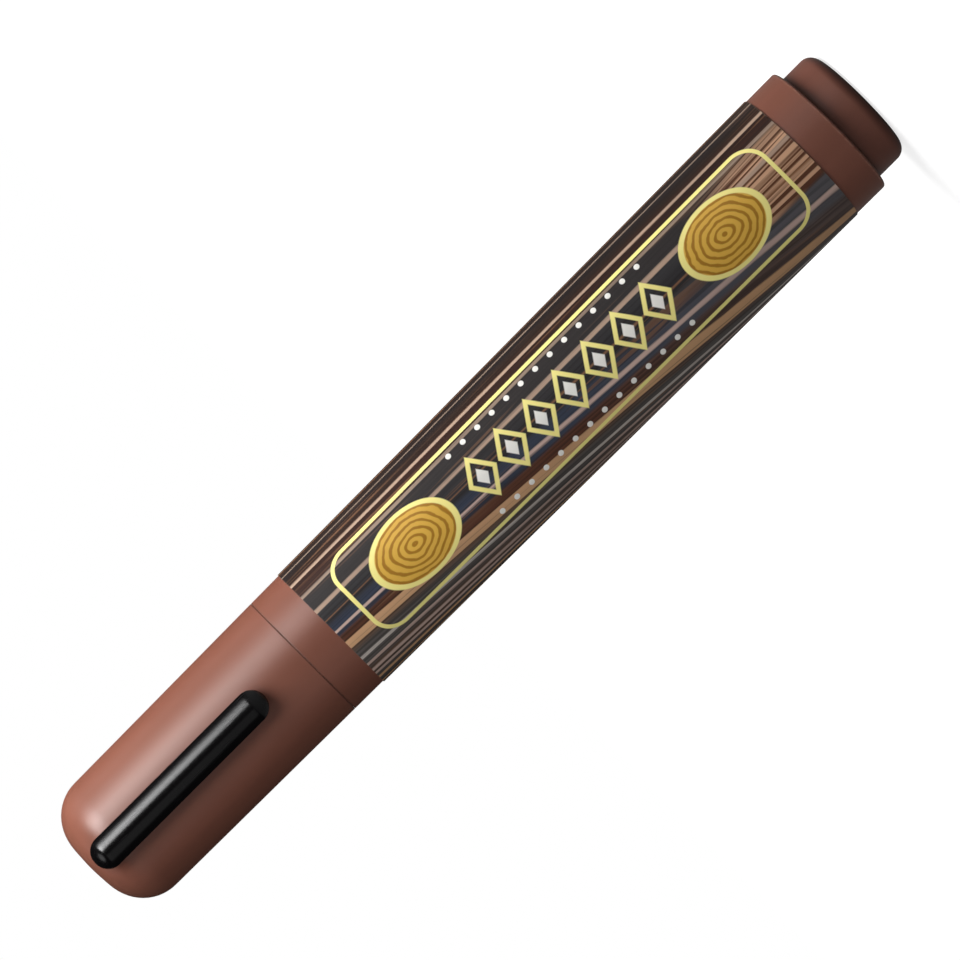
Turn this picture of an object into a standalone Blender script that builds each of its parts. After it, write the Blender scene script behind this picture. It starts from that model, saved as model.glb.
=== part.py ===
"""Touch-up marker with a pull-off cap, modelled piece by piece.

The marker stands on its tail plug. The origin is the middle of the plug's end face, +Z runs
along the pen to the closed end of the cap, and the pocket clip faces -Y. Lengths are metres.
"""

import math

import bmesh
import bpy
from mathutils import Matrix, Vector

MM = 0.001

# Facets round a turned piece, and steps in the arcs of its profile
SEGMENTS = 48
CORNER_STEPS = 7
EDGE_STEPS = 2
SHARP_ANGLE = math.radians(32)
FLAT_ANGLE = math.radians(0.2)

# Gaps between pieces
PRESS_GAP = 0.05 * MM
SLIDE_GAP = 0.10 * MM
SEAM_GAP = 0.15 * MM
FILM_GAP = 0.03 * MM
SOCKET_GAP = 0.30 * MM
ROOT_GAP = 0.35 * MM

# Barrel, with the neck that carries the cap
BARREL_LENGTH = 85.9 * MM
BARREL_FRONT_DIAMETER = 17.0 * MM
BARREL_TAPER = 1.25 * MM
BARREL_WALL = 1.6 * MM
RIM_EDGE = 0.35 * MM
NECK_LENGTH = 8.0 * MM
NECK_WALL = 1.4 * MM
NECK_CHAMFER = 0.5 * MM
BEAD_HEIGHT = 0.2 * MM
BEAD_WIDTH = 1.4 * MM
BEAD_OFFSET = 3.0 * MM
BARREL_RIBS = 6
BARREL_RIB_HEIGHT = 0.7 * MM
BARREL_RIB_WIDTH = 0.9 * MM

# Printed film round the barrel
FILM_THICKNESS = 0.10 * MM
FILM_REAR_MARGIN = 4.2 * MM
FILM_FRONT_MARGIN = 4.5 * MM

# Tail plug
PLUG_HEAD_LENGTH = 4.9 * MM
PLUG_LEDGE = 0.4 * MM
PLUG_EDGE_RADIUS = 1.0 * MM
PLUG_FLOOR = 1.6 * MM
PLUG_WALL = 1.3 * MM
PLUG_SPIGOT_LENGTH = 8.0 * MM
PLUG_GROOVE_DEPTH = 0.3 * MM
PLUG_GROOVE_WIDTH = 1.2 * MM
PLUG_GROOVE_PITCH = 2.6 * MM
POST_REACH = 1.5 * MM
POST_SPAN = 7.0 * MM
POST_WIDTH = 1.2 * MM
POST_DRAFT = 0.1 * MM

# Ink reservoir and the film wrapped round it
WRAP_THICKNESS = 0.15 * MM
WRAP_INSET = 0.6 * MM

# Nib and its holder
NIB_DIAMETER = 5.2 * MM
NIB_EXPOSED = 6.6 * MM
NIB_INSERTION = 10.0 * MM
NIB_POINT = 4.0 * MM
NIB_FLAT_LENGTH = 4.6 * MM
NIB_EDGE_THICKNESS = 1.6 * MM
NIB_SLANT = math.radians(24)
NOSE_WALL = 1.6 * MM
NOSE_CONE_LENGTH = 2.0 * MM
NOSE_CONE_RISE = 1.2 * MM
SEAL_LAND_LENGTH = 4.0 * MM
NOSE_TIP_LENGTH = 2.8 * MM
NOSE_TIP_WALL = 0.9 * MM
FLANGE_THICKNESS = 1.4 * MM
FLANGE_INSET = 0.3 * MM
HOLDER_WALL = 1.0 * MM
HOLDER_WEB = 2.0 * MM
VENTS = 4
VENT_WIDTH = 0.8 * MM
VENT_DEPTH = 0.45 * MM

# Cap shell and the liner pressed into it
CAP_WALL = 1.15 * MM
CAP_TAPER = 0.5 * MM
CAP_CORNER_RADIUS = 5.3 * MM
CAP_MOUTH_CHAMFER = 0.3 * MM
CAP_RIBS = 6
CAP_RIB_WIDTH = 0.9 * MM
CAP_RIB_SETBACK = 1.0 * MM
STOP_HEIGHT = 1.6 * MM
STOP_DIAMETER = 6.0 * MM
LINER_WALL = 0.8 * MM
LINER_SETBACK = 0.5 * MM
LINER_EDGE = 0.4 * MM
NIB_ROOM = 6.0 * MM

# Pocket clip
CLIP_WIDTH = 3.6 * MM
CLIP_THICKNESS = 1.8 * MM
CLIP_GAP = 1.0 * MM
CLIP_END_INSET = 0.6 * MM
CLIP_RIM_SETBACK = 6.1 * MM
CLIP_ROOT_LENGTH = 7.8 * MM
CLIP_CORNER_RADIUS = 3.2 * MM
CLIP_SEAT_ANGLE = 38
CLIP_CROWN = 0.7 * MM
CLIP_END_STEPS = 10
NUB_SETBACK = 2.4 * MM
NUB_LENGTH = 2.0 * MM
TANG_WIDTH = 2.0 * MM
TANG_LENGTH = 2.4 * MM
TANG_HOOK = 0.5 * MM
TANG_HOOK_THICKNESS = 0.6 * MM
HINGE_DROP = 3.2 * MM

# Levels along the pen, from the tail up
REAR_RIM = PLUG_HEAD_LENGTH
SHOULDER = REAR_RIM + BARREL_LENGTH
NECK_TOP = SHOULDER + NECK_LENGTH
LEDGE = SHOULDER - BARREL_WALL
SPIGOT_TOP = REAR_RIM + PLUG_SPIGOT_LENGTH
POST_TOP = SPIGOT_TOP + POST_REACH
RESERVOIR_LOW = POST_TOP + PRESS_GAP
RESERVOIR_TOP = LEDGE - PRESS_GAP
FLANGE_LOW = NECK_TOP + PRESS_GAP
FLANGE_TOP = FLANGE_LOW + FLANGE_THICKNESS
LAND_LOW = FLANGE_TOP + NOSE_CONE_LENGTH
LAND_TOP = LAND_LOW + SEAL_LAND_LENGTH
NOSE_TIP = LAND_TOP + NOSE_TIP_LENGTH
NIB_TIP = NOSE_TIP + NIB_EXPOSED
NIB_REAR = RESERVOIR_TOP - NIB_INSERTION
LINER_MOUTH = LAND_LOW + LINER_SETBACK
LINER_CEILING = NIB_TIP + NIB_ROOM
LINER_TOP = LINER_CEILING + LINER_WALL
STOP_LOW = LINER_TOP + PRESS_GAP
CAP_CEILING = STOP_LOW + STOP_HEIGHT
CAP_TOP = CAP_CEILING + CAP_WALL
CAP_CORNER = CAP_TOP - CAP_CORNER_RADIUS
CAP_RIM = SHOULDER + SEAM_GAP
BEAD_LEVEL = SHOULDER + BEAD_OFFSET
CLIP_TOP = CAP_TOP - CLIP_END_INSET
CLIP_FREE_END = CAP_RIM + CLIP_RIM_SETBACK
CLIP_ROOT_LOW = CLIP_TOP - CLIP_ROOT_LENGTH
TANG_TOP = CAP_CORNER - ROOT_GAP
TANG_LOW = TANG_TOP - TANG_LENGTH
HINGE_LEVEL = CAP_TOP - HINGE_DROP

# Radii that several pieces share
FRONT_RADIUS = BARREL_FRONT_DIAMETER / 2
REAR_RADIUS = FRONT_RADIUS + BARREL_TAPER / 2
CAP_TOP_RADIUS = FRONT_RADIUS - CAP_TAPER / 2
CAP_MOUTH_RADIUS = FRONT_RADIUS - CAP_WALL
BEAD_RADIUS = CAP_MOUTH_RADIUS - SLIDE_GAP
NECK_RADIUS = BEAD_RADIUS - BEAD_HEIGHT
NECK_BORE = NECK_RADIUS - NECK_WALL
NIB_RADIUS = NIB_DIAMETER / 2
NIB_BORE = NIB_RADIUS + SLIDE_GAP
NOSE_RADIUS = NIB_BORE + NOSE_WALL
LINER_BORE = NOSE_RADIUS + SLIDE_GAP
LINER_RADIUS = LINER_BORE + LINER_WALL


def between(level, low, radius_low, high, radius_high):
    """Radius at a level on the straight line between two given ones."""
    share = (level - low) / (high - low)
    return radius_low + share * (radius_high - radius_low)


def barrel_radius(level):
    return between(level, REAR_RIM, REAR_RADIUS, SHOULDER, FRONT_RADIUS)


def barrel_bore(level):
    return barrel_radius(level) - BARREL_WALL


def cap_radius(level):
    """Outside of the cap's tapered side, carried on above its rounded corner."""
    return between(level, CAP_RIM, FRONT_RADIUS, CAP_CORNER, CAP_TOP_RADIUS)


def cap_bore(level):
    return cap_radius(level) - CAP_WALL


RIB_CIRCLE = barrel_bore(LEDGE) - BARREL_RIB_HEIGHT
WRAP_RADIUS = RIB_CIRCLE - PRESS_GAP
CORE_RADIUS = WRAP_RADIUS - WRAP_THICKNESS - PRESS_GAP


def clear_scene():
    for obj in list(bpy.data.objects):
        bpy.data.objects.remove(obj)


def new_collection(name, hidden=False):
    collection = bpy.data.collections.new(name)
    collection.hide_render = hidden
    bpy.context.scene.collection.children.link(collection)
    return collection


clear_scene()
PARTS = new_collection("touch_up_marker")
CUTTERS = new_collection("cutters", hidden=True)


def linear(channel):
    if channel <= 0.04045:
        return channel / 12.92
    return ((channel + 0.055) / 1.055) ** 2.4


def make_material(name, red, green, blue, roughness):
    """Plastic or fibre of an 8-bit display colour."""
    material = bpy.data.materials.new(name)
    material.use_nodes = True
    shader = material.node_tree.nodes["Principled BSDF"]
    colour = [linear(value / 255) for value in (red, green, blue)]
    shader.inputs["Base Color"].default_value = (*colour, 1.0)
    shader.inputs["Roughness"].default_value = roughness
    shader.inputs["Metallic"].default_value = 0.0
    material.diffuse_color = (*colour, 1.0)
    material.roughness = roughness
    return material


def arc(centre, radius, start, end, steps):
    """Points on an arc about (radius, level), with both ends, angles in degrees from +X."""
    points = []
    for step in range(steps + 1):
        angle = math.radians(start + (end - start) * step / steps)
        points.append((centre[0] + radius * math.cos(angle), centre[1] + radius * math.sin(angle)))
    return points


def make_empty(name, level, parent=None):
    empty = bpy.data.objects.new(name, None)
    empty.empty_display_size = 5 * MM
    PARTS.objects.link(empty)
    set_parent(empty, parent)
    empty.location = (0, 0, level)
    bpy.context.view_layer.update()
    return empty


def set_parent(obj, parent):
    """Parents an object and keeps its location in world units."""
    if parent is not None:
        obj.parent = parent
        obj.matrix_parent_inverse = parent.matrix_world.inverted()


def make_turned(name, profile, seat, ring=False):
    """Turns (radius, level) points, run down the outer side, about Z; seat is the origin's level."""
    mesh = bpy.data.meshes.new(name)
    points = [(radius, 0, level - seat) for radius, level in profile]
    count = len(points)
    edges = [(index, index + 1) for index in range(count - 1)]
    if ring:
        edges.append((count - 1, 0))
    mesh.from_pydata(points, edges, [])
    obj = bpy.data.objects.new(name, mesh)
    PARTS.objects.link(obj)
    obj.location = (0, 0, seat)
    screw = obj.modifiers.new("turn", "SCREW")
    screw.axis = "Z"
    screw.angle = math.tau
    screw.steps = SEGMENTS
    screw.render_steps = SEGMENTS
    screw.use_merge_vertices = True
    screw.merge_threshold = 0.005 * MM
    return obj


def hide_cutter(obj):
    CUTTERS.objects.link(obj)
    obj.hide_render = True
    obj.display_type = "WIRE"


def make_helper(name, mesh):
    obj = bpy.data.objects.new(name, mesh)
    hide_cutter(obj)
    return obj


def make_fins(name, count, first_angle, width, low, high):
    """Radial fins; low and high are (inner radius, outer radius, level) at their two ends."""
    mesh = bpy.data.meshes.new(name)
    shape = bmesh.new()
    for index in range(count):
        turn = Matrix.Rotation(first_angle + index * math.tau / count, 3, "Z")
        fin = bmesh.ops.create_cube(shape, size=1.0)
        for vertex in fin["verts"]:
            inner, outer, level = high if vertex.co.z > 0 else low
            radius = outer if vertex.co.x > 0 else inner
            vertex.co = turn @ Vector((radius, width * vertex.co.y, level))
    shape.to_mesh(mesh)
    shape.free()
    return make_helper(name, mesh)


def make_box(name, size, matrix):
    mesh = bpy.data.meshes.new(name)
    shape = bmesh.new()
    bmesh.ops.create_cube(shape, size=1.0, matrix=Matrix.Diagonal((*size, 1.0)))
    shape.to_mesh(mesh)
    shape.free()
    box = make_helper(name, mesh)
    box.matrix_world = matrix
    return box


def make_prism(name, points, thickness, matrix):
    """A flat outline made solid, half its thickness to either side of its plane."""
    curve = bpy.data.curves.new(name + "_outline", "CURVE")
    curve.dimensions = "2D"
    curve.fill_mode = "BOTH"
    curve.extrude = thickness / 2
    spline = curve.splines.new("POLY")
    spline.points.add(len(points) - 1)
    for point, (across, along) in zip(spline.points, points):
        point.co = (across, along, 0, 1)
    spline.use_cyclic_u = True
    outline = bpy.data.objects.new(name + "_outline", curve)
    CUTTERS.objects.link(outline)
    bpy.context.view_layer.update()
    graph = bpy.context.evaluated_depsgraph_get()
    mesh = bpy.data.meshes.new_from_object(outline.evaluated_get(graph))
    shape = bmesh.new()
    shape.from_mesh(mesh)
    bmesh.ops.remove_doubles(shape, verts=shape.verts, dist=0.001 * MM)
    bmesh.ops.dissolve_limit(shape, angle_limit=FLAT_ANGLE, verts=shape.verts, edges=shape.edges)
    bmesh.ops.recalc_face_normals(shape, faces=shape.faces)
    shape.to_mesh(mesh)
    shape.free()
    bpy.data.objects.remove(outline)
    prism = make_helper(name, mesh)
    prism.matrix_world = matrix
    return prism


def combine(obj, helper, operation):
    boolean = obj.modifiers.new(helper.name, "BOOLEAN")
    boolean.object = helper
    boolean.operation = operation
    boolean.solver = "EXACT"


def finish(obj, material, parent):
    """Turns the modifiers into the mesh itself, shades it, and hangs it on its parent."""
    bpy.context.view_layer.update()
    graph = bpy.context.evaluated_depsgraph_get()
    mesh = bpy.data.meshes.new_from_object(obj.evaluated_get(graph))
    obj.modifiers.clear()
    obj.data = mesh
    mesh.name = obj.name
    mesh.materials.clear()
    mesh.materials.append(material)
    mesh.shade_smooth()
    mesh.set_sharp_from_angle(angle=SHARP_ANGLE)
    set_parent(obj, parent)


def build_barrel(parent):
    neck = [
        (NECK_BORE, NECK_TOP),
        (NECK_RADIUS - NECK_CHAMFER, NECK_TOP),
        (NECK_RADIUS, NECK_TOP - NECK_CHAMFER),
        (NECK_RADIUS, BEAD_LEVEL + BEAD_WIDTH / 2),
        (BEAD_RADIUS, BEAD_LEVEL + BEAD_WIDTH / 2 - BEAD_HEIGHT),
        (BEAD_RADIUS, BEAD_LEVEL - BEAD_WIDTH / 2 + BEAD_HEIGHT),
        (NECK_RADIUS, BEAD_LEVEL - BEAD_WIDTH / 2),
        (NECK_RADIUS, SHOULDER),
    ]
    outside = arc((FRONT_RADIUS - RIM_EDGE, SHOULDER - RIM_EDGE), RIM_EDGE, 90, 0, EDGE_STEPS)
    outside += arc((REAR_RADIUS - RIM_EDGE, REAR_RIM + RIM_EDGE), RIM_EDGE, 0, -90, EDGE_STEPS)
    bore = [
        (barrel_bore(REAR_RIM), REAR_RIM),
        (barrel_bore(LEDGE), LEDGE),
        (NECK_BORE, LEDGE),
    ]
    barrel = make_turned("barrel", neck + outside + bore, REAR_RIM, ring=True)
    rib_low = POST_TOP
    rib_top = LEDGE + BARREL_WALL / 2
    ribs = make_fins(
        "barrel_ribs",
        BARREL_RIBS,
        0.0,
        BARREL_RIB_WIDTH,
        (RIB_CIRCLE, barrel_radius(rib_low) - BARREL_WALL / 2, rib_low),
        (RIB_CIRCLE, barrel_radius(rib_top) - BARREL_WALL / 2, rib_top),
    )
    combine(barrel, ribs, "UNION")
    finish(barrel, make_material("barrel_brown", 112, 68, 53, 0.42), parent)


def build_label_film(parent):
    low = REAR_RIM + FILM_REAR_MARGIN
    high = SHOULDER - FILM_FRONT_MARGIN
    profile = [
        (barrel_radius(high) + FILM_GAP + FILM_THICKNESS, high),
        (barrel_radius(low) + FILM_GAP + FILM_THICKNESS, low),
        (barrel_radius(low) + FILM_GAP, low),
        (barrel_radius(high) + FILM_GAP, high),
    ]
    film = make_turned("label_film", profile, low, ring=True)
    finish(film, make_material("film_print", 62, 47, 41, 0.30), parent)


def plug_spigot():
    """Outside of the plug's spigot from its top down: sealing lands with grooves between."""
    top_radius = barrel_bore(SPIGOT_TOP) - PRESS_GAP
    points = [
        (top_radius - PLUG_GROOVE_DEPTH, SPIGOT_TOP),
        (top_radius, SPIGOT_TOP - 2 * PLUG_GROOVE_DEPTH),
    ]
    middle = REAR_RIM + PLUG_SPIGOT_LENGTH / 2
    for centre in (middle + PLUG_GROOVE_PITCH / 2, middle - PLUG_GROOVE_PITCH / 2):
        upper = centre + PLUG_GROOVE_WIDTH / 2
        lower = centre - PLUG_GROOVE_WIDTH / 2
        land_upper = barrel_bore(upper) - PRESS_GAP
        land_lower = barrel_bore(lower) - PRESS_GAP
        points.append((land_upper, upper))
        points.append((land_upper - PLUG_GROOVE_DEPTH, upper))
        points.append((land_lower - PLUG_GROOVE_DEPTH, lower))
        points.append((land_lower, lower))
    points.append((barrel_bore(REAR_RIM) - PRESS_GAP, REAR_RIM - PRESS_GAP))
    return points


def build_tail_plug(parent):
    head_radius = barrel_bore(REAR_RIM) + PLUG_LEDGE
    hollow_radius = barrel_bore(SPIGOT_TOP) - PRESS_GAP - PLUG_WALL
    hollow = [
        (0, PLUG_FLOOR),
        (hollow_radius, PLUG_FLOOR),
        (hollow_radius, SPIGOT_TOP),
    ]
    head = [(head_radius, REAR_RIM - PRESS_GAP)]
    head += arc(
        (head_radius - PLUG_EDGE_RADIUS, PLUG_EDGE_RADIUS), PLUG_EDGE_RADIUS, 0, -90, 2 * EDGE_STEPS
    )
    plug = make_turned("tail_plug", hollow + plug_spigot() + head + [(0, 0)], 0)
    span = POST_SPAN / 2
    root = POST_WIDTH / 2
    tip = root - POST_DRAFT
    corner = [(tip, span), (root, root), (span, tip), (span, -tip), (root, -root), (tip, -span)]
    cross = corner + [(-across, -along) for across, along in corner]
    post_low = PLUG_FLOOR / 2
    post = make_prism(
        "plug_post",
        cross,
        POST_TOP - post_low,
        Matrix.Translation((0, 0, (POST_TOP + post_low) / 2)),
    )
    combine(plug, post, "UNION")
    finish(plug, make_material("plug_brown", 96, 58, 46, 0.42), parent)


def build_ink_reservoir(parent):
    socket = NIB_RADIUS + SOCKET_GAP
    profile = [
        (0, NIB_REAR - SOCKET_GAP),
        (socket, NIB_REAR + NIB_POINT - SOCKET_GAP),
        (socket, RESERVOIR_TOP),
        (CORE_RADIUS, RESERVOIR_TOP),
        (CORE_RADIUS, RESERVOIR_LOW),
        (0, RESERVOIR_LOW),
    ]
    core = make_turned("ink_reservoir", profile, RESERVOIR_LOW)
    finish(core, make_material("inked_fibre", 74, 70, 68, 0.95), parent)


def build_reservoir_wrap(parent):
    low = RESERVOIR_LOW + WRAP_INSET
    high = RESERVOIR_TOP - WRAP_INSET
    inner = WRAP_RADIUS - WRAP_THICKNESS
    profile = [(WRAP_RADIUS, high), (WRAP_RADIUS, low), (inner, low), (inner, high)]
    wrap = make_turned("reservoir_wrap", profile, low, ring=True)
    finish(wrap, make_material("wrap_film", 226, 226, 220, 0.25), parent)


def build_nib_holder(parent):
    spigot = NECK_BORE - PRESS_GAP
    hollow = max(spigot - HOLDER_WALL, NIB_BORE + PRESS_GAP)
    hollow_top = FLANGE_TOP - HOLDER_WEB
    profile = [
        (NIB_BORE, NOSE_TIP),
        (NIB_BORE + NOSE_TIP_WALL, NOSE_TIP),
        (NOSE_RADIUS, LAND_TOP),
        (NOSE_RADIUS, LAND_LOW),
        (NOSE_RADIUS + NOSE_CONE_RISE, FLANGE_TOP),
        (NECK_RADIUS - FLANGE_INSET, FLANGE_TOP),
        (NECK_RADIUS - FLANGE_INSET, FLANGE_LOW),
        (spigot, FLANGE_LOW),
        (spigot, SHOULDER),
        (hollow, SHOULDER),
        (hollow, hollow_top),
        (NIB_BORE, hollow_top),
    ]
    holder = make_turned("nib_holder", profile, FLANGE_LOW, ring=True)
    vents = make_fins(
        "holder_vents",
        VENTS,
        math.pi / VENTS,
        VENT_WIDTH,
        (NIB_RADIUS / 2, NIB_BORE + VENT_DEPTH, hollow_top - HOLDER_WALL),
        (NIB_RADIUS / 2, NIB_BORE + VENT_DEPTH, NOSE_TIP + HOLDER_WALL),
    )
    combine(holder, vents, "DIFFERENCE")
    finish(holder, make_material("holder_black", 32, 31, 32, 0.40), parent)


def build_nib(parent):
    profile = [
        (0, NIB_TIP),
        (NIB_RADIUS, NIB_TIP),
        (NIB_RADIUS, NIB_REAR + NIB_POINT),
        (0, NIB_REAR),
    ]
    nib = make_turned("nib", profile, NIB_REAR)
    block = 4 * NIB_DIAMETER
    lean = math.atan2(NIB_RADIUS - NIB_EDGE_THICKNESS / 2, NIB_FLAT_LENGTH)
    for name, side in (("nib_front_flat", -1), ("nib_back_flat", 1)):
        place = Matrix.Translation((0, side * NIB_EDGE_THICKNESS / 2, NIB_TIP))
        place @= Matrix.Rotation(side * lean, 4, "X")
        place @= Matrix.Translation((0, side * block / 2, 0))
        combine(nib, make_box(name, (block, block, block), place), "DIFFERENCE")
    place = Matrix.Translation((NIB_RADIUS, 0, NIB_TIP))
    place @= Matrix.Rotation(-NIB_SLANT, 4, "Y")
    place @= Matrix.Translation((0, 0, block / 2))
    combine(nib, make_box("nib_slant", (block, block, block), place), "DIFFERENCE")
    finish(nib, make_material("nib_felt", 58, 55, 54, 0.95), parent)


def cap_inside():
    """Inside of the shell from its rim up: mouth, snap groove, bore, rounded end and liner stop."""
    groove_low = BEAD_LEVEL - BEAD_WIDTH / 2 - BEAD_HEIGHT
    groove_top = BEAD_LEVEL + BEAD_WIDTH / 2 + BEAD_HEIGHT
    points = [
        (CAP_MOUTH_RADIUS + CAP_MOUTH_CHAMFER, CAP_RIM),
        (CAP_MOUTH_RADIUS, CAP_RIM + CAP_MOUTH_CHAMFER),
        (cap_bore(groove_low), groove_low),
        (cap_bore(groove_low) + BEAD_HEIGHT, groove_low + BEAD_HEIGHT),
        (cap_bore(groove_top) + BEAD_HEIGHT, groove_top - BEAD_HEIGHT),
        (cap_bore(groove_top), groove_top),
    ]
    centre = (CAP_TOP_RADIUS - CAP_CORNER_RADIUS, CAP_CORNER)
    points += arc(centre, CAP_CORNER_RADIUS - CAP_WALL, 0, 90, CORNER_STEPS)
    stop_root = min(STOP_DIAMETER / 2, centre[0] - PRESS_GAP)
    points += [(stop_root, CAP_CEILING), (stop_root, STOP_LOW), (0, STOP_LOW)]
    return points


def build_cap_shell(parent):
    centre = (CAP_TOP_RADIUS - CAP_CORNER_RADIUS, CAP_CORNER)
    outside = [(0, CAP_TOP)]
    outside += arc(centre, CAP_CORNER_RADIUS, 90, 0, CORNER_STEPS)
    outside += arc((FRONT_RADIUS - RIM_EDGE, CAP_RIM + RIM_EDGE), RIM_EDGE, 0, -90, EDGE_STEPS)
    shell = make_turned("cap_shell", outside + cap_inside(), CAP_RIM)
    rib_low = LINER_MOUTH + CAP_RIB_SETBACK
    rib_top = LINER_TOP - LINER_EDGE
    rib_inner = LINER_RADIUS + PRESS_GAP
    corner_inner = cap_bore(CAP_CORNER) + CAP_WALL / 3
    ribs = make_fins(
        "cap_ribs",
        CAP_RIBS,
        -math.pi / 2 + math.pi / CAP_RIBS,
        CAP_RIB_WIDTH,
        (rib_inner, corner_inner, rib_low),
        (rib_inner, min(corner_inner, corner_radius_at(rib_top) + CAP_WALL / 3), rib_top),
    )
    combine(shell, ribs, "UNION")
    slot_depth = 4 * CAP_WALL
    slot = make_box(
        "clip_slot",
        (TANG_WIDTH + ROOT_GAP, slot_depth, TANG_LENGTH + 2 * ROOT_GAP),
        Matrix.Translation((0, -cap_radius(TANG_LOW), (TANG_LOW + TANG_TOP) / 2)),
    )
    combine(shell, slot, "DIFFERENCE")
    finish(shell, make_material("cap_brown", 122, 76, 60, 0.38), parent)


def corner_radius_at(level):
    """Radius of the inside of the shell's rounded end at a level above the corner's start."""
    rise = min(max(level - CAP_CORNER, 0), CAP_CORNER_RADIUS - CAP_WALL)
    across = math.sqrt((CAP_CORNER_RADIUS - CAP_WALL) ** 2 - rise**2)
    return CAP_TOP_RADIUS - CAP_CORNER_RADIUS + across


def build_cap_liner(parent):
    profile = [
        (0, LINER_TOP),
        (LINER_RADIUS - LINER_EDGE, LINER_TOP),
        (LINER_RADIUS, LINER_TOP - LINER_EDGE),
        (LINER_RADIUS, LINER_MOUTH),
        (LINER_BORE + LINER_WALL / 2, LINER_MOUTH),
        (LINER_BORE, LINER_MOUTH + LINER_WALL / 2),
        (LINER_BORE, LINER_CEILING),
        (0, LINER_CEILING),
    ]
    liner = make_turned("cap_liner", profile, LINER_MOUTH)
    finish(liner, make_material("liner_natural", 216, 212, 200, 0.45), parent)


def clip_outline():
    """Side of the clip as (distance from the pen's axis, level), free end first, outer side first."""
    under_free = cap_radius(CLIP_FREE_END) + CLIP_GAP
    under_root = cap_radius(CLIP_ROOT_LOW) + CLIP_GAP
    outer_free = under_free + CLIP_THICKNESS
    outer_top = cap_radius(CLIP_TOP) + CLIP_GAP + CLIP_THICKNESS
    centre = (CAP_TOP_RADIUS - CAP_CORNER_RADIUS, CAP_CORNER)
    clear = CAP_CORNER_RADIUS + ROOT_GAP
    reach = min(CLIP_SEAT_ANGLE, math.degrees(math.asin((CLIP_TOP - CAP_CORNER) / clear)))
    shoulder = arc(
        (outer_top - CLIP_CORNER_RADIUS, CLIP_TOP - CLIP_CORNER_RADIUS),
        CLIP_CORNER_RADIUS,
        0,
        90,
        CORNER_STEPS,
    )
    seat = arc(centre, clear, reach, 0, CORNER_STEPS)
    seat.insert(0, (seat[0][0], CLIP_TOP))
    seat.append((cap_radius(CLIP_ROOT_LOW) + ROOT_GAP, CLIP_ROOT_LOW))
    nub_level = CLIP_FREE_END + NUB_SETBACK
    nub_height = CLIP_GAP - ROOT_GAP
    nub = []
    for share, drop in ((0.5, 0.0), (0.25, 0.75), (0.0, 1.0), (-0.25, 0.75), (-0.5, 0.0)):
        level = nub_level + share * NUB_LENGTH
        nub.append((cap_radius(level) + CLIP_GAP - drop * nub_height, level))
    end = [(under_root, CLIP_ROOT_LOW - CLIP_GAP)] + nub
    return [(outer_free, CLIP_FREE_END)] + shoulder + seat + end + [(under_free, CLIP_FREE_END)]


def tang_outline():
    """Side of the tang that goes through the shell's slot and hooks up behind the wall."""
    root = cap_radius(TANG_LOW) + ROOT_GAP + CLIP_THICKNESS / 2
    hook_outer = cap_bore(CAP_CORNER) - ROOT_GAP
    hook_inner = hook_outer - TANG_HOOK_THICKNESS
    return [
        (root, TANG_LOW),
        (root, TANG_TOP),
        (hook_outer, TANG_TOP),
        (hook_outer, TANG_TOP + TANG_HOOK),
        (hook_inner, TANG_TOP),
        (hook_inner, TANG_LOW),
    ]


def front_outline():
    """The clip seen from the front: a bar with round ends."""
    half = CLIP_WIDTH / 2
    upper = arc((0, CLIP_TOP - half), half, 0, 180, CLIP_END_STEPS)
    lower = arc((0, CLIP_FREE_END + half), half, 180, 360, CLIP_END_STEPS)
    return upper + lower


def crown_outline():
    """The clip seen from its end: a rounded back, with the middle of the back at the origin."""
    half = CLIP_WIDTH / 2
    radius = (half**2 + CLIP_CROWN**2) / (2 * CLIP_CROWN)
    spread = math.degrees(math.asin(min(1.1 * half / radius, 1)))
    back = arc((0, -radius), radius, 90 - spread, 90 + spread, CLIP_END_STEPS)
    depth = 4 * CLIP_THICKNESS
    return back + [(back[-1][0], -depth), (back[0][0], -depth)]


def crown_place():
    """Lays the crown's length along the back of the clip, which leans with the cap's side."""
    middle = (CLIP_FREE_END + CLIP_TOP) / 2
    back = cap_radius(middle) + CLIP_GAP + CLIP_THICKNESS
    lean = math.atan2(CAP_TAPER / 2, CAP_CORNER - CAP_RIM)
    end_view = Matrix(((1, 0, 0, 0), (0, -1, 0, 0), (0, 0, -1, 0), (0, 0, 0, 1)))
    return Matrix.Translation((0, -back, middle)) @ Matrix.Rotation(-lean, 4, "X") @ end_view


def build_cap_clip(parent):
    side_view = Matrix(((0, 0, -1, 0), (-1, 0, 0, 0), (0, 1, 0, 0), (0, 0, 0, 1)))
    front_view = Matrix(((1, 0, 0, 0), (0, 0, -1, 0), (0, 1, 0, 0), (0, 0, 0, 1)))
    clip = make_prism("cap_clip", clip_outline(), 2 * CLIP_WIDTH, side_view)
    CUTTERS.objects.unlink(clip)
    PARTS.objects.link(clip)
    clip.hide_render = False
    clip.display_type = "TEXTURED"
    front = make_prism("clip_front", front_outline(), 4 * BARREL_FRONT_DIAMETER, front_view)
    combine(clip, front, "INTERSECT")
    crown = make_prism("clip_crown", crown_outline(), 2 * (CLIP_TOP - CLIP_FREE_END), crown_place())
    combine(clip, crown, "INTERSECT")
    tang = make_prism("clip_tang", tang_outline(), TANG_WIDTH, side_view)
    combine(clip, tang, "UNION")
    finish(clip, make_material("clip_black", 20, 19, 20, 0.25), parent)
    move_origin(clip, Vector((0, -CAP_TOP_RADIUS, HINGE_LEVEL)))


def move_origin(obj, origin):
    """Puts the object's own axes square at a point and leaves its shape where it is."""
    obj.data.transform(Matrix.Translation(-origin) @ obj.matrix_world)
    obj.matrix_world = Matrix.Translation(origin)


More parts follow.
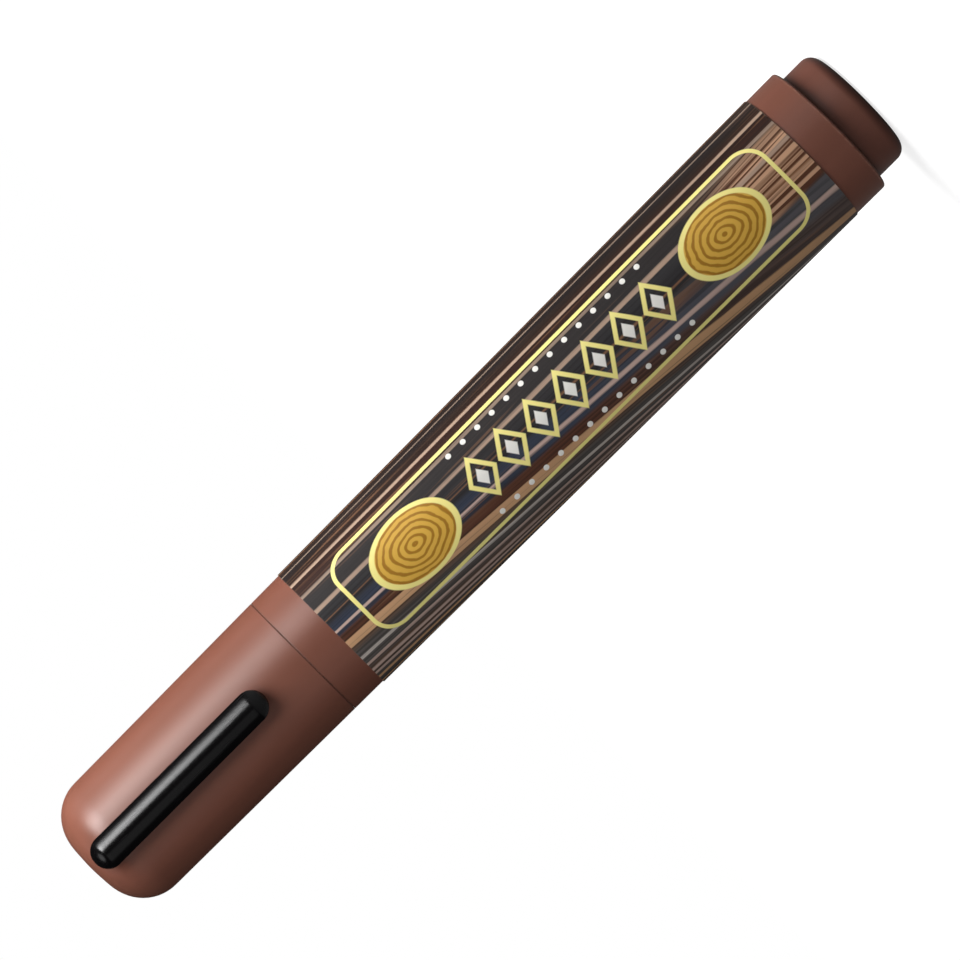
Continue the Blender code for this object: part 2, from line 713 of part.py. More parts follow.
def build_marker():
    marker = make_empty("marker", 0)
    cap = make_empty("cap_axis", CAP_RIM, marker)
    for build in (
        build_barrel,
        build_label_film,
        build_tail_plug,
        build_ink_reservoir,
        build_reservoir_wrap,
        build_nib_holder,
        build_nib,
    ):
        build(marker)
    for build in (build_cap_shell, build_cap_liner, build_cap_clip):
        build(cap)


build_marker()
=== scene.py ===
"""Looks of a touch-up marker: fine meshes, procedural materials, studio light and the camera.

Lengths are metres. The pen stands on its tail plug, +Z runs along it to the closed end of the cap,
and the pocket clip faces -Y, towards the camera.
"""

import math
from functools import partial, partialmethod

import bmesh
import bpy
from mathutils import Matrix, Vector


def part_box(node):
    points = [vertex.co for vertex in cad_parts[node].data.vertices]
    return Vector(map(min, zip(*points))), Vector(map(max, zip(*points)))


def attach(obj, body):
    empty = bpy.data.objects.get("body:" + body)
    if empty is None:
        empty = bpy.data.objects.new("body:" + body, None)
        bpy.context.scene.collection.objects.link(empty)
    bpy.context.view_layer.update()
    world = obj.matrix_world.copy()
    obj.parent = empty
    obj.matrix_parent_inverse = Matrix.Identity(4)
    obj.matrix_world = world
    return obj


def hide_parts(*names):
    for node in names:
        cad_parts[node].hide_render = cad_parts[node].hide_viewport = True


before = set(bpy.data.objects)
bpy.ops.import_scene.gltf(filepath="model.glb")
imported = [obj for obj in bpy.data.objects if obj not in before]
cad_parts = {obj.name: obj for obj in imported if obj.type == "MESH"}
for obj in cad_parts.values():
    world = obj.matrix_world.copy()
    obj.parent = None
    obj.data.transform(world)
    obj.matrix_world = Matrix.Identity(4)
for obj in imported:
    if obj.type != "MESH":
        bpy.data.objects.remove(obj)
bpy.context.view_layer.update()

MM = 0.001

# Fineness of the meshes
SEGMENTS = 160
FILLET_STEP = math.radians(9)
SHARP_ANGLE = math.radians(34)
SUPPORT = 0.12 * MM
CORNER_STEPS = 14
DOME_STEPS = 8
LONGEST_TANGENT = 0.9
# Fillets up to the worn radius carry wear on outside edges and painted shade in inside corners; fillets
# finer than the shaded seam radius carry painted shade of the seam strength.
WORN_RADIUS = 1.2 * MM
SHADED_SEAM_RADIUS = 0.1 * MM
SEAM_SHADE = 0.45
TINY = 1e-7
MERGE_DISTANCE = 0.001 * MM


def levels(node):
    """Lowest and highest level of a node."""
    low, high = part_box(node)
    return low.z, high.z


def reach(node):
    """Distance from the pen's axis to a node's furthest point along X."""
    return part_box(node)[1].x


# Where the finer shapes depart a little from the solids
CLIP_FLARE = 0.2 * MM
CLIP_TRIM = 0.45 * MM
FILM_TRIM = 0.5 * MM

# Levels and radii that the frame gives
REAR_RIM, NECK_TOP = levels("barrel")
CAP_RIM, CAP_TOP = levels("cap_shell")
FILM_LOW, FILM_TOP = levels("label_film")
FILM_LOW += FILM_TRIM
PLUG_END, POST_TOP = levels("tail_plug")
SHOULDER, NOSE_TIP = levels("nib_holder")
NIB_REAR, NIB_TIP = levels("nib")
LINER_MOUTH, LINER_TOP = levels("cap_liner")
CLIP_FREE_END, CLIP_TOP = levels("cap_clip")
CLIP_TOP -= CLIP_TRIM
FRONT_RADIUS = reach("cap_shell")
REAR_RADIUS = reach("barrel")
FLANGE_RADIUS = reach("nib_holder")
NIB_RADIUS = reach("nib")
LINER_RADIUS = reach("cap_liner")
CLIP_HALF_WIDTH = reach("cap_clip") + CLIP_FLARE
PLUG_RADIUS = reach("tail_plug")

# Gaps between pieces
PRESS_GAP = 0.05 * MM
SLIDE_GAP = 0.10 * MM
ROOT_GAP = 0.35 * MM
SEAT_GAP = 0.06 * MM
SEAT_GAP_TOP = 0.2 * MM
SEAM_GAP = 0.01 * MM

# Barrel and neck
BARREL_WALL = 1.6 * MM
NECK_RADIUS = 7.05 * MM
NECK_WALL = 1.4 * MM
NECK_BORE = NECK_RADIUS - NECK_WALL
NECK_EDGE = 0.5 * MM
BEAD_HEIGHT = 0.2 * MM
BEAD_WIDTH = 1.4 * MM
BEAD_LEVEL = SHOULDER + 3.0 * MM
LEDGE = SHOULDER - BARREL_WALL
RIM_EDGE = 0.35 * MM
FINE_EDGE = 0.12 * MM
SEAM_EDGE = 0.09 * MM
RIB_COUNT = 6
RIB_WIDTH = 0.9 * MM
RIB_HEIGHT = 0.7 * MM

# Printed film
FILM_GAP = 0.03 * MM
FILM_THICKNESS = 0.10 * MM
FILM_LAP = 2.2 * MM
FILM_LAP_RAMP = 1.2 * MM
FILM_LAP_ANGLE = math.radians(128)
FILM_RINGS = 40
FILM_EDGE_BAND = 0.12 * MM

# Tail plug
PLUG_ROUND = 1.5 * MM
PLUG_DOME = 0.25 * MM
PLUG_DOME_SPREAD = 6.0 * MM
PLUG_FLOOR = 1.6 * MM
PLUG_WALL = 1.3 * MM
SPIGOT_TOP = POST_TOP - 1.5 * MM
GROOVE_DEPTH = 0.3 * MM
GROOVE_WIDTH = 1.2 * MM
GROOVE_PITCH = 2.6 * MM
GATE_RADIUS = 0.9 * MM
GATE_DEPTH = 0.12 * MM
POST_SPAN = 7.0 * MM
POST_WIDTH = 1.2 * MM

# Nib and holder
NIB_BORE = NIB_RADIUS + SLIDE_GAP
NIB_POINT = 4.0 * MM
NIB_FLAT_LENGTH = 4.6 * MM
NIB_EDGE_THICKNESS = 1.6 * MM
NIB_SLANT = math.radians(24)
NIB_EDGE_ROUND = 0.18 * MM
NIB_EDGE_STEPS = 3
NOSE_RADIUS = NIB_BORE + 1.6 * MM
NOSE_TIP_WALL = 0.9 * MM
FLANGE_LOW = NECK_TOP + PRESS_GAP
FLANGE_TOP = FLANGE_LOW + 1.4 * MM
LAND_TOP = NOSE_TIP - 2.8 * MM
LAND_LOW = LAND_TOP - 4.0 * MM
CONE_RISE = 1.2 * MM
HOLDER_WALL = 1.0 * MM
HOLDER_WEB = 2.0 * MM
VENT_COUNT = 4
VENT_WIDTH = 0.8 * MM
VENT_DEPTH = 0.45 * MM

# Cap shell and liner
CAP_WALL = 1.15 * MM
CAP_TOP_RADIUS = FRONT_RADIUS - 0.25 * MM
CAP_ROUND = 5.3 * MM
CAP_CORNER = CAP_TOP - CAP_ROUND
CAP_DOME = 0.27 * MM
CAP_DOME_SPREAD = 3.1 * MM
CAP_CEILING = CAP_TOP - CAP_WALL
MOUTH_CHAMFER = 0.3 * MM
CAP_SEAT = SHOULDER + SEAM_GAP
STOP_LOW = LINER_TOP + PRESS_GAP
STOP_RADIUS = 2.9 * MM
LINER_WALL = 0.8 * MM
LINER_BORE = LINER_RADIUS - LINER_WALL
LINER_EDGE = 0.4 * MM
LINER_CEILING = LINER_TOP - LINER_WALL
CAP_RIB_LOW = LINER_MOUTH + 1.0 * MM
CAP_RIB_TOP = LINER_TOP - LINER_EDGE

# Pocket clip
CLIP_GAP = 1.0 * MM
CLIP_THICKNESS = 1.8 * MM
CLIP_CROWN = 1.35 * MM
CLIP_RIDGE = 0.7
CLIP_LEAST_WALL = 0.42 * MM
CLIP_EDGE = 0.15 * MM
CLIP_ROUND = 1.9 * MM
CLIP_ROOT_LOW = CLIP_TOP - 7.3 * MM
CLIP_ROOT_RAMP = 2.2 * MM
CLIP_LENGTH_STEPS = 72
CLIP_END_STEPS = 28
CLIP_CROWN_STEPS = 14
CLIP_UNDER_STEPS = 5
NUB_LEVEL = CLIP_FREE_END + 2.4 * MM
NUB_LENGTH = 3.4 * MM
TANG_WIDTH = 2.0 * MM
TANG_LENGTH = 2.4 * MM
TANG_TOP = CAP_CORNER - ROOT_GAP
TANG_LOW = TANG_TOP - TANG_LENGTH
TANG_HOOK = 0.5 * MM
TANG_HOOK_THICKNESS = 0.6 * MM


def between(level, low, radius_low, high, radius_high):
    share = (level - low) / (high - low)
    return radius_low + share * (radius_high - radius_low)


def eased(share):
    """A share held between 0 and 1, with a soft start and a soft end."""
    share = min(max(share, 0.0), 1.0)
    return share * share * (3 - 2 * share)


def barrel_radius(level):
    return between(level, REAR_RIM, REAR_RADIUS, SHOULDER, FRONT_RADIUS)


def barrel_bore(level):
    return barrel_radius(level) - BARREL_WALL


def cap_radius(level):
    return between(level, CAP_RIM, FRONT_RADIUS, CAP_CORNER, CAP_TOP_RADIUS)


def cap_bore(level):
    return cap_radius(level) - CAP_WALL


RIB_CIRCLE = barrel_bore(LEDGE) - RIB_HEIGHT


# Profiles and turned meshes


def fillet(before, corner, after, radius):
    """Arc that rounds a profile's corner, and +1 for an outside corner or -1 for an inside one."""
    here = Vector(corner)
    back = Vector(before) - here
    ahead = Vector(after) - here
    half = back.angle(ahead) / 2
    longest = LONGEST_TANGENT * min(back.length, ahead.length)
    tangent = min(radius / math.tan(half), longest)
    radius = tangent * math.tan(half)
    middle = (back.normalized() + ahead.normalized()).normalized()
    centre = here + middle * radius / math.sin(half)
    start = here + back.normalized() * tangent - centre
    end = here + ahead.normalized() * tangent - centre
    first = math.atan2(start.y, start.x)
    sweep = (math.atan2(end.y, end.x) - first + math.pi) % math.tau - math.pi
    steps = max(2, math.ceil(abs(sweep) / FILLET_STEP))
    points = []
    for step in range(steps + 1):
        angle = first + sweep * step / steps
        points.append((centre.x + radius * math.cos(angle), centre.y + radius * math.sin(angle)))
    return points, (1.0 if sweep > 0 else -1.0)


def support(point, towards):
    """One more profile point close to a fillet, so that its wear and painted shade fade out there."""
    way = Vector(towards) - Vector(point)
    if way.length < 3 * SUPPORT:
        return []
    place = Vector(point) + way.normalized() * SUPPORT
    return [(place.x, place.y, 0.0)]


def rounded(corners, ring):
    """Profile of (radius, level, wear and painted shade) points, solid on its left.

    Corners are (radius, level, fillet), or (radius, level) with a fine edge.
    """
    profile = []
    count = len(corners)
    for index, corner in enumerate(corners):
        radius, level, edge = (*corner, FINE_EDGE)[:3]
        has_neighbours = ring or 0 < index < count - 1
        if not has_neighbours or edge <= 0:
            profile.append((radius, level, 0.0))
            continue
        before = corners[index - 1][:2]
        after = corners[(index + 1) % count][:2]
        arc, wear_and_shade = fillet(before, (radius, level), after, edge)
        if edge < SHADED_SEAM_RADIUS:
            wear_and_shade = -SEAM_SHADE
        elif edge > WORN_RADIUS:
            wear_and_shade = 0.0
        profile += support(arc[0], before)
        profile += [(x, z, wear_and_shade) for x, z in arc]
        profile += support(arc[-1], after)
    return profile


def domed_end(side, corner, tip, way, dome, spread):
    """Corners of a closed end that faces up (way 1) or down (way -1): a round that runs into a dome."""
    inner = side - corner
    points = []
    for step in range(CORNER_STEPS + 1):
        angle = math.pi / 2 * step / CORNER_STEPS
        points.append((inner + corner * math.cos(angle), corner * (1 - math.sin(angle))))
    points += [(inner * (1 - step / DOME_STEPS), 0.0) for step in range(1, DOME_STEPS)]
    corners = []
    for radius, fall in points:
        fall += dome * (1 - math.exp(-((radius / spread) ** 2)))
        corners.append((radius, tip - way * fall, 0))
    return corners


def turned(name, corners, ring=False):
    """Turns a profile about Z into a closed mesh with a value of wear and painted shade on every vertex.
    """
    shape = bmesh.new()
    wear_and_shade_layer = shape.verts.layers.float.new("wear_and_shade")
    rings = []
    for radius, level, wear_and_shade in rounded(corners, ring):
        circle = []
        for index in range(SEGMENTS if radius > TINY else 1):
            angle = math.tau * index / SEGMENTS
            vertex = shape.verts.new((radius * math.cos(angle), radius * math.sin(angle), level))
            vertex[wear_and_shade_layer] = wear_and_shade
            circle.append(vertex)
        rings.append(circle)
    if ring:
        rings.append(rings[0])
    for lower, upper in zip(rings, rings[1:]):
        join_rings(shape, lower, upper, SEGMENTS)
    return mesh_object(name, shape)


def join_rings(shape, lower, upper, count):
    """Faces between two rings of vertices; a ring of one vertex is a pole."""
    for index in range(count):
        corners = (
            lower[index % len(lower)],
            lower[(index + 1) % len(lower)],
            upper[(index + 1) % len(upper)],
            upper[index % len(upper)],
        )
        shape.faces.new(list(dict.fromkeys(corners)))


def linked(name, data):
    obj = bpy.data.objects.new(name, data)
    bpy.context.scene.collection.objects.link(obj)
    return obj


def mesh_object(name, shape):
    bmesh.ops.recalc_face_normals(shape, faces=shape.faces)
    mesh = bpy.data.meshes.new(name)
    shape.to_mesh(mesh)
    shape.free()
    return linked(name, mesh)


# Tools that cut or join


def fins(count, first_angle, width, low, high):
    """Radial fins; low and high are (inner radius, outer radius, level) at their two ends."""
    shape = bmesh.new()
    for index in range(count):
        turn = Matrix.Rotation(first_angle + index * math.tau / count, 3, "Z")
        for vertex in bmesh.ops.create_cube(shape, size=1.0)["verts"]:
            inner, outer, level = high if vertex.co.z > 0 else low
            radius = outer if vertex.co.x > 0 else inner
            vertex.co = turn @ Vector((radius, width * vertex.co.y, level))
    return mesh_object("fins", shape)


def block(size, matrix):
    shape = bmesh.new()
    bmesh.ops.create_cube(shape, size=1.0, matrix=matrix @ Matrix.Diagonal((*size, 1.0)))
    return mesh_object("block", shape)


def side_prism(outline, width):
    """Solid of a (distance from the axis, level) outline on the clip's side, across X."""
    shape = bmesh.new()
    faces = []
    for side in (-width / 2, width / 2):
        faces.append([shape.verts.new((side, -distance, level)) for distance, level in outline])
        shape.faces.new(faces[-1])
    join_rings(shape, faces[0], faces[1], len(outline))
    return mesh_object("prism", shape)


def combine(obj, tool, operation):
    """Cuts or joins with a tool mesh, keeps the result and removes the tool."""
    boolean = obj.modifiers.new("combine", "BOOLEAN")
    boolean.object = tool
    boolean.operation = operation
    boolean.solver = "EXACT"
    apply_modifiers(obj)
    bpy.data.objects.remove(tool)


def apply_modifiers(obj):
    bpy.context.view_layer.update()
    graph = bpy.context.evaluated_depsgraph_get()
    mesh = bpy.data.meshes.new_from_object(obj.evaluated_get(graph))
    obj.modifiers.clear()
    obj.data = mesh


def dress(obj, material, body, node):
    """Shades a piece, hangs it on its body's empty and hides the solid of its node."""
    mesh = obj.data
    mesh.materials.clear()
    mesh.materials.append(material)
    mesh.shade_smooth()
    mesh.set_sharp_from_angle(angle=SHARP_ANGLE)
    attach(obj, body)
    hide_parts(node)


# Material building


def linear(channel):
    if channel <= 0.04045:
        return channel / 12.92
    return ((channel + 0.055) / 1.055) ** 2.4


def colour(red, green, blue):
    """Linear colour of an 8-bit display colour."""
    return (*(linear(value / 255) for value in (red, green, blue)), 1.0)


def tinted(shade, factor):
    """A linear colour made lighter or darker."""
    return (*(min(channel * factor, 1.0) for channel in shade[:3]), 1.0)


def total(*parts):
    """Sum of (field, weight) pairs."""
    weighted = [field * weight for field, weight in parts]
    return sum(weighted[1:], weighted[0])


def named_socket(sockets, identifier):
    return next(socket for socket in sockets if socket.identifier == identifier)


class Field:
    """A number at every point of a surface; arithmetic on it adds Math nodes."""

    def __init__(self, nodes, socket):
        self.nodes = nodes
        self.socket = socket

    def calculate(self, operation, *others, clamp=False):
        node = self.nodes.new("ShaderNodeMath", operation=operation, use_clamp=clamp)
        for socket, value in zip(node.inputs, (self, *others)):
            self.nodes.feed(socket, value)
        return Field(self.nodes, node.outputs[0])

    __add__ = partialmethod(calculate, "ADD")
    __sub__ = partialmethod(calculate, "SUBTRACT")
    __mul__ = partialmethod(calculate, "MULTIPLY")
    __truediv__ = partialmethod(calculate, "DIVIDE")
    __abs__ = partialmethod(calculate, "ABSOLUTE")
    least = partialmethod(calculate, "MINIMUM")
    most = partialmethod(calculate, "MAXIMUM")
    power = partialmethod(calculate, "POWER")
    fraction = partialmethod(calculate, "FRACT")
    sine = partialmethod(calculate, "SINE")

    def flipped(self):
        """One minus this."""
        return self.calculate("MULTIPLY_ADD", -1.0, 1.0)

    def above(self, level, softness):
        """0 below a level and 1 above it, with a ramp of a given width between."""
        return ((self - level) / softness).calculate("ADD", 0.5, clamp=True)

    def below(self, level, softness):
        """1 below a level and 0 above it, with the same ramp."""
        return self.above(level, softness).flipped()

    def ranging(self, low, high):
        """A low value where this is 0 and a high one where it is 1."""
        return self * (high - low) + low

    def hypotenuse(self, other):
        return (self.power(2.0) + other.power(2.0)).power(0.5)


class Nodes:
    """A node tree in the making."""

    def __init__(self, tree):
        self.tree = tree

    def new(self, kind, **settings):
        node = self.tree.nodes.new(kind)
        for name, value in settings.items():
            setattr(node, name, value)
        return node

    def feed(self, socket, value):
        """Links a field or a socket to an input, or sets a plain value there."""
        if isinstance(value, Field):
            value = value.socket
        if isinstance(value, bpy.types.NodeSocket):
            self.tree.links.new(value, socket)
        else:
            socket.default_value = value


class Finish(Nodes):
    """A material in the making, with its shader."""

    def __init__(self, name):
        self.material = bpy.data.materials.new(name)
        self.material.use_nodes = True
        super().__init__(self.material.node_tree)
        self.shader = self.tree.nodes["Principled BSDF"]

    def set(self, name, value):
        self.feed(self.shader.inputs[name], value)

    def attribute(self, name, output):
        return self.new("ShaderNodeAttribute", attribute_name=name).outputs[output]

    def wear_and_shade(self):
        """1 for wear on outside edges, below 0 for painted shade in inside corners and seams, and 0
        elsewhere.
        """
        return Field(self, self.attribute("wear_and_shade", "Fac"))

    def join(self, *parts):
        node = self.new("ShaderNodeCombineXYZ")
        for socket, value in zip(node.inputs, parts):
            self.feed(socket, value)
        return node.outputs[0]

    def noise(self, vector, detail=2.0, distortion=0.0):
        """Noise from 0 to 1 with features about one unit of the vector wide."""
        node = self.new("ShaderNodeTexNoise")
        settings = {"Vector": vector, "Scale": 1.0, "Detail": detail, "Distortion": distortion}
        for name, value in settings.items():
            self.feed(node.inputs[name], value)
        return Field(self, node.outputs["Fac"])

    def marks(self, across, along, detail=2.0, distortion=0.0):
        """Noise with features of a size across and along the pen, in millimetres."""
        scale = self.new("ShaderNodeVectorMath", operation="MULTIPLY")
        self.feed(scale.inputs[0], self.new("ShaderNodeTexCoord").outputs["Object"])
        self.feed(scale.inputs[1], [1 / (MM * size) for size in (across, across, along)])
        return self.noise(scale.outputs[0], detail, distortion)

    def mix(self, share, first, second):
        node = self.new("ShaderNodeMix", data_type="RGBA")
        for identifier, value in (("Factor_Float", share), ("A_Color", first), ("B_Color", second)):
            self.feed(named_socket(node.inputs, identifier), value)
        return named_socket(node.outputs, "Result_Color")

    def over(self, base, *layers):
        """Colour with layers of (share, colour) laid over it in turn."""
        for share, shade in layers:
            base = self.mix(share, base, shade)
        return base

    def ramp(self, field, stops):
        """Colour and cover along a field from 0 to 1; stops are (position, colour)."""
        node = self.new("ShaderNodeValToRGB")
        self.feed(node.inputs["Fac"], field)
        elements = node.color_ramp.elements
        elements[0].position = stops[0][0]
        elements[1].position = stops[-1][0]
        for position, _ in stops[1:-1]:
            elements.new(position)
        for element, (_, shade) in zip(elements, stops):
            element.color = shade
        return node.outputs["Color"], Field(self, node.outputs["Alpha"])

    def bump(self, height, depth):
        """Bends the normal by a height from 0 to 1 that stands for a depth."""
        node = self.new("ShaderNodeBump")
        self.feed(node.inputs["Height"], height)
        self.feed(node.inputs["Distance"], depth)
        self.set("Normal", node.outputs["Normal"])


# Materials of the pieces

# Marks in a surface: size across and along the pen in millimetres, detail and distortion
CLOUDS = (9.0, 22.0, 3.0, 0.6)
FLOW = (1.6, 30.0)
MOULD_GRAIN = (0.22, 0.22)
RUBBING = (0.5, 0.5, 3.0)
SCRATCHES = (0.35, 9.0, 3.0, 1.2)
STRANDS = (0.16, 3.5, 3.0, 0.4)
FUZZ = (0.12, 0.12)
STAINS = (1.8, 2.6)
MILKY_CLOUDS = (3.0, 5.0, 3.0)
INK_MIST = (1.1, 1.1, 4.0)
MILKY_GRAIN = (0.25, 0.25)
CREASES = (0.7, 24.0, 3.0, 0.5)
HAZE = (4.0, 9.0, 3.0)

# Mean of what the grain and the clouds of a moulded surface add to its roughness
MEAN_TEXTURE = 0.07


def moulded_plastic(name, shade, roughness, ior, rubbed_shade, rubbed_share):
    """Injection-moulded plastic: faint flow marks, fine handling scratches, rubbed edges, and painted
    shade in inside corners and the seam.
    """
    finish = Finish(name)
    clouds = finish.marks(*CLOUDS)
    flow = finish.marks(*FLOW)
    grain = finish.marks(*MOULD_GRAIN)
    rub = finish.marks(*RUBBING)
    scratches = finish.marks(*SCRATCHES).above(0.66, 0.05)
    wear_and_shade = finish.wear_and_shade()
    edge = wear_and_shade.most(0.0) * rub.above(0.46, 0.3) * rubbed_share
    # Painted shade: near-black patches along inside corners and the seam's fine edges, also rougher
    # there.
    corner_shade = (wear_and_shade * -1.0).most(0.0) * rub.above(0.2, 0.5)
    body = finish.over(
        tinted(shade, 0.9),
        (clouds.above(0.5, 0.7), tinted(shade, 1.1)),
        (flow.above(0.55, 0.5) * 0.35, tinted(shade, 0.84)),
        (edge, rubbed_shade),
        (corner_shade * 0.8, tinted(shade, 0.16)),
    )
    finish.set("Base Color", body)
    texture = total((grain, 0.08), (clouds, 0.06), (scratches, 0.08), (edge, 0.12), (corner_shade, 0.4))
    finish.set("Roughness", texture + (roughness - MEAN_TEXTURE))
    finish.set("IOR", ior)
    finish.bump(total((grain, 0.5), (flow, 0.25), (scratches, -0.3)), 0.006 * MM)
    return finish.material


def felt(name, shade, pale):
    """Pressed fibre, combed along the nib, with ink that has dried unevenly."""
    finish = Finish(name)
    strands = finish.marks(*STRANDS)
    fuzz = finish.marks(*FUZZ)
    body = finish.over(
        tinted(shade, 0.6),
        (strands.above(0.52, 0.25), shade),
        (fuzz.above(0.62, 0.16) * 0.6, pale),
        (finish.marks(*STAINS).above(0.5, 0.5) * 0.5, tinted(shade, 0.45)),
    )
    finish.set("Base Color", body)
    finish.set("Roughness", fuzz * 0.1 + 0.86)
    finish.set("IOR", 1.35)
    finish.set("Sheen Weight", 0.25)
    finish.bump(total((strands, 0.7), (fuzz, 0.5)), 0.07 * MM)
    return finish.material


def natural_plastic(name, shade):
    """Uncoloured, slightly milky plastic of the liner, with ink mist on it."""
    finish = Finish(name)
    clouds = finish.marks(*MILKY_CLOUDS)
    body = finish.over(
        tinted(shade, 0.9),
        (clouds.above(0.5, 0.6), shade),
        (finish.marks(*INK_MIST).above(0.66, 0.12) * 0.35, tinted(shade, 0.45)),
    )
    finish.set("Base Color", body)
    finish.set("Roughness", clouds * 0.1 + 0.38)
    finish.set("Subsurface Weight", 0.12)
    finish.set("Subsurface Radius", (0.8 * MM, 0.7 * MM, 0.6 * MM))
    finish.set("Subsurface Scale", 1.0)
    finish.bump(finish.marks(*MILKY_GRAIN), 0.01 * MM)
    return finish.material


def wrap_material(name, shade):
    """Clear film round the ink core, with fine lengthwise creases and painted shade along them."""
    finish = Finish(name)
    creases = finish.marks(*CREASES)
    haze = finish.marks(*HAZE)
    body = finish.over(
        tinted(shade, 0.82),
        (haze.above(0.5, 0.5), shade),
        # Painted shade along the creases
        (creases.above(0.6, 0.2) * 0.4, tinted(shade, 0.6)),
    )
    finish.set("Base Color", body)
    finish.set("Roughness", haze * 0.15 + 0.2)
    finish.bump(creases, 0.03 * MM)
    return finish.material


# Printed film: wood grain with an inlay band, in millimetres on the flat sheet

EBONY = colour(40, 35, 35)
BARK = colour(50, 41, 38)
CHARCOAL = colour(50, 48, 50)
SLATE = colour(96, 91, 88)
PALE_SLATE = colour(110, 104, 102)
NAVY = colour(60, 66, 82)
MAROON = colour(54, 32, 25)
UMBER = colour(52, 39, 33)
CHESTNUT = colour(92, 58, 44)
HAZEL = colour(104, 82, 68)
BROWN = colour(142, 101, 74)
ASH = colour(152, 131, 115)
TAN = colour(212, 167, 126)
PALE_TAN = colour(178, 151, 131)
ROSE_GREY = colour(204, 176, 164)
SILVER = colour(204, 194, 186)
FAN_DARK = colour(92, 54, 34)
FAN_PALE = colour(212, 166, 132)

# Ground of the grain over one repeat round the barrel: place across it and the shade there. Shades at
# places above 0, on the dim side of the front, are painted lighter and those on the lit side darker:
# painted light and shade that even out the lamps' shading of the print.
GRAIN_SPAN = 28.0
GROUND = (
    (-14.0, BARK), (-12.0, UMBER), (-9.9, EBONY), (-8.6, UMBER), (-7.5, MAROON),
    (-5.6, MAROON), (-4.9, EBONY), (-3.2, EBONY), (-2.2, CHARCOAL), (-0.6, CHARCOAL),
    (0.0, NAVY), (1.2, NAVY), (1.5, CHESTNUT), (2.4, CHESTNUT), (3.6, HAZEL),
    (4.4, SLATE), (6.6, SLATE), (7.8, HAZEL), (9.4, SLATE), (14.0, BARK),
)

# Sharp lines in the grain: place, width and shade; lines at places above 0, on the dim side, are painted
# lighter as painted fill light.
LINES = (
    (-12.4, 0.30, BROWN), (-10.4, 0.20, ASH), (-7.5, 0.46, PALE_TAN), (-5.2, 0.36, ASH),
    (-2.6, 0.46, PALE_TAN), (-1.0, 0.08, BROWN), (0.75, 0.30, ROSE_GREY), (2.9, 1.05, TAN),
    (5.3, 0.40, SILVER), (6.6, 0.34, ROSE_GREY), (7.9, 0.45, ROSE_GREY), (8.8, 0.40, ROSE_GREY),
    (10.0, 0.50, TAN), (11.8, 0.50, TAN),
)
LINES_PER_RAMP = 7
LINE_SIDE = 0.05
LINE_FADE = 0.3
LINE_BREAKS = 0.45

# The grain spreads apart on one side of the front: where that starts, its edge and how it grows
SPREAD_START = -2.0
SPREAD_EDGE = 2.7
SPREAD_SLOPE = 0.055
SPREAD_CURVE = 0.0006
SLOW_WANDER = 0.9
QUICK_WANDER = 0.25

# Noise on the sheet: size across and along in millimetres, layer and detail
SLOW_NOISE = (9.0, 60.0, 3.0, 1.0)
QUICK_NOISE = (1.2, 20.0, 7.0, 2.0)
FIBRES = (0.26, 40.0, 1.0, 3.0)
PALE_FIBRES = (0.45, 34.0, 5.0, 2.0)
PATCHES = (3.0, 20.0, 9.0, 2.0)
FAN_LINES = (0.36, 70.0, 12.0, 1.0)
RING_NOISE = (2.0, 2.4, 2.0, 2.0)
INK_SPECKS = (0.5, 0.5, 4.0, 3.0)
SCUFFS = (0.8, 6.0, 8.0, 4.0)

# Zones of the sheet: where one begins, from the cap's end or from the front, and how softly
TAIL_ALONG = (54.0, 36.0)
TAIL_ACROSS = (1.0, 2.0)
FAN_ALONG = (65.0, 8.0)
FAN_LEFT = (-4.6, 2.0)
FAN_RIGHT = (3.0, 0.5)
FAR_SIDE = (14.0, 6.0)
FAN_START = 56.0
FAN_LENGTH = 70.0

# Inlay band on the front
PALE_YELLOW = colour(252, 240, 150)
WHITE_INK = colour(244, 242, 236)
GOLD = colour(222, 176, 74)
DARK_GOLD = colour(168, 118, 40)
RUBBED_FILM = colour(150, 138, 126)

INLAY_MIDDLE = 38.6
FRAME_HALF_LENGTH = 34.5
FRAME_HALF_HEIGHT = 5.9
FRAME_CORNER = 3.0
FRAME_LINE = 0.5
LOZENGE_PITCH = 4.7
LOZENGE_COUNT = 7
LOZENGE_HALF_LENGTH = 2.2
LOZENGE_HALF_HEIGHT = 3.1
LOZENGE_LINE = 0.3
LOZENGE_HEART = 0.62
OVAL_OFFSET = 25.0
OVAL_HALF_LENGTH = 6.2
OVAL_HALF_HEIGHT = 4.3
OVAL_RIM = 0.12
OVAL_EDGE = 0.02
RING_PITCH = 0.16
RING_WOBBLE = 0.16
DOT_ROW = 4.6
DOT_PITCH = 2.35
DOT_RADIUS = 0.36
PRINT_EDGE = 0.06
INK_LOSS = 0.06
RUBBED_SHARE = 0.2


def sheet_noise(finish, across, along, look):
    width, length, layer, detail = look
    return finish.noise(finish.join(across / width, along / length, layer), detail)


def grain_place(finish, across, along):
    """Place across the grain, which wanders slowly and spreads apart towards the tail."""
    slow = sheet_noise(finish, across, along, SLOW_NOISE)
    quick = sheet_noise(finish, across, along, QUICK_NOISE)
    spread = along * SPREAD_SLOPE + along.power(2.0) * SPREAD_CURVE
    share = ((across - SPREAD_START) / (spread + (SPREAD_EDGE - SPREAD_START))).least(1.0).most(0.0)
    return across - spread * share + (slow - 0.5) * SLOW_WANDER + (quick - 0.5) * QUICK_WANDER


def line_stops(lines):
    """Ramp stops that draw lines with sharp sides on a clear ground."""
    stops = []
    for middle, width, shade in lines:
        clear = (*shade[:3], 0.0)
        half = width / 2
        outer = half + LINE_SIDE
        for offset, tone in ((-outer, clear), (-half, shade), (half, shade), (outer, clear)):
            stops.append(((middle + offset) / GRAIN_SPAN + 0.5, tone))
    return stops


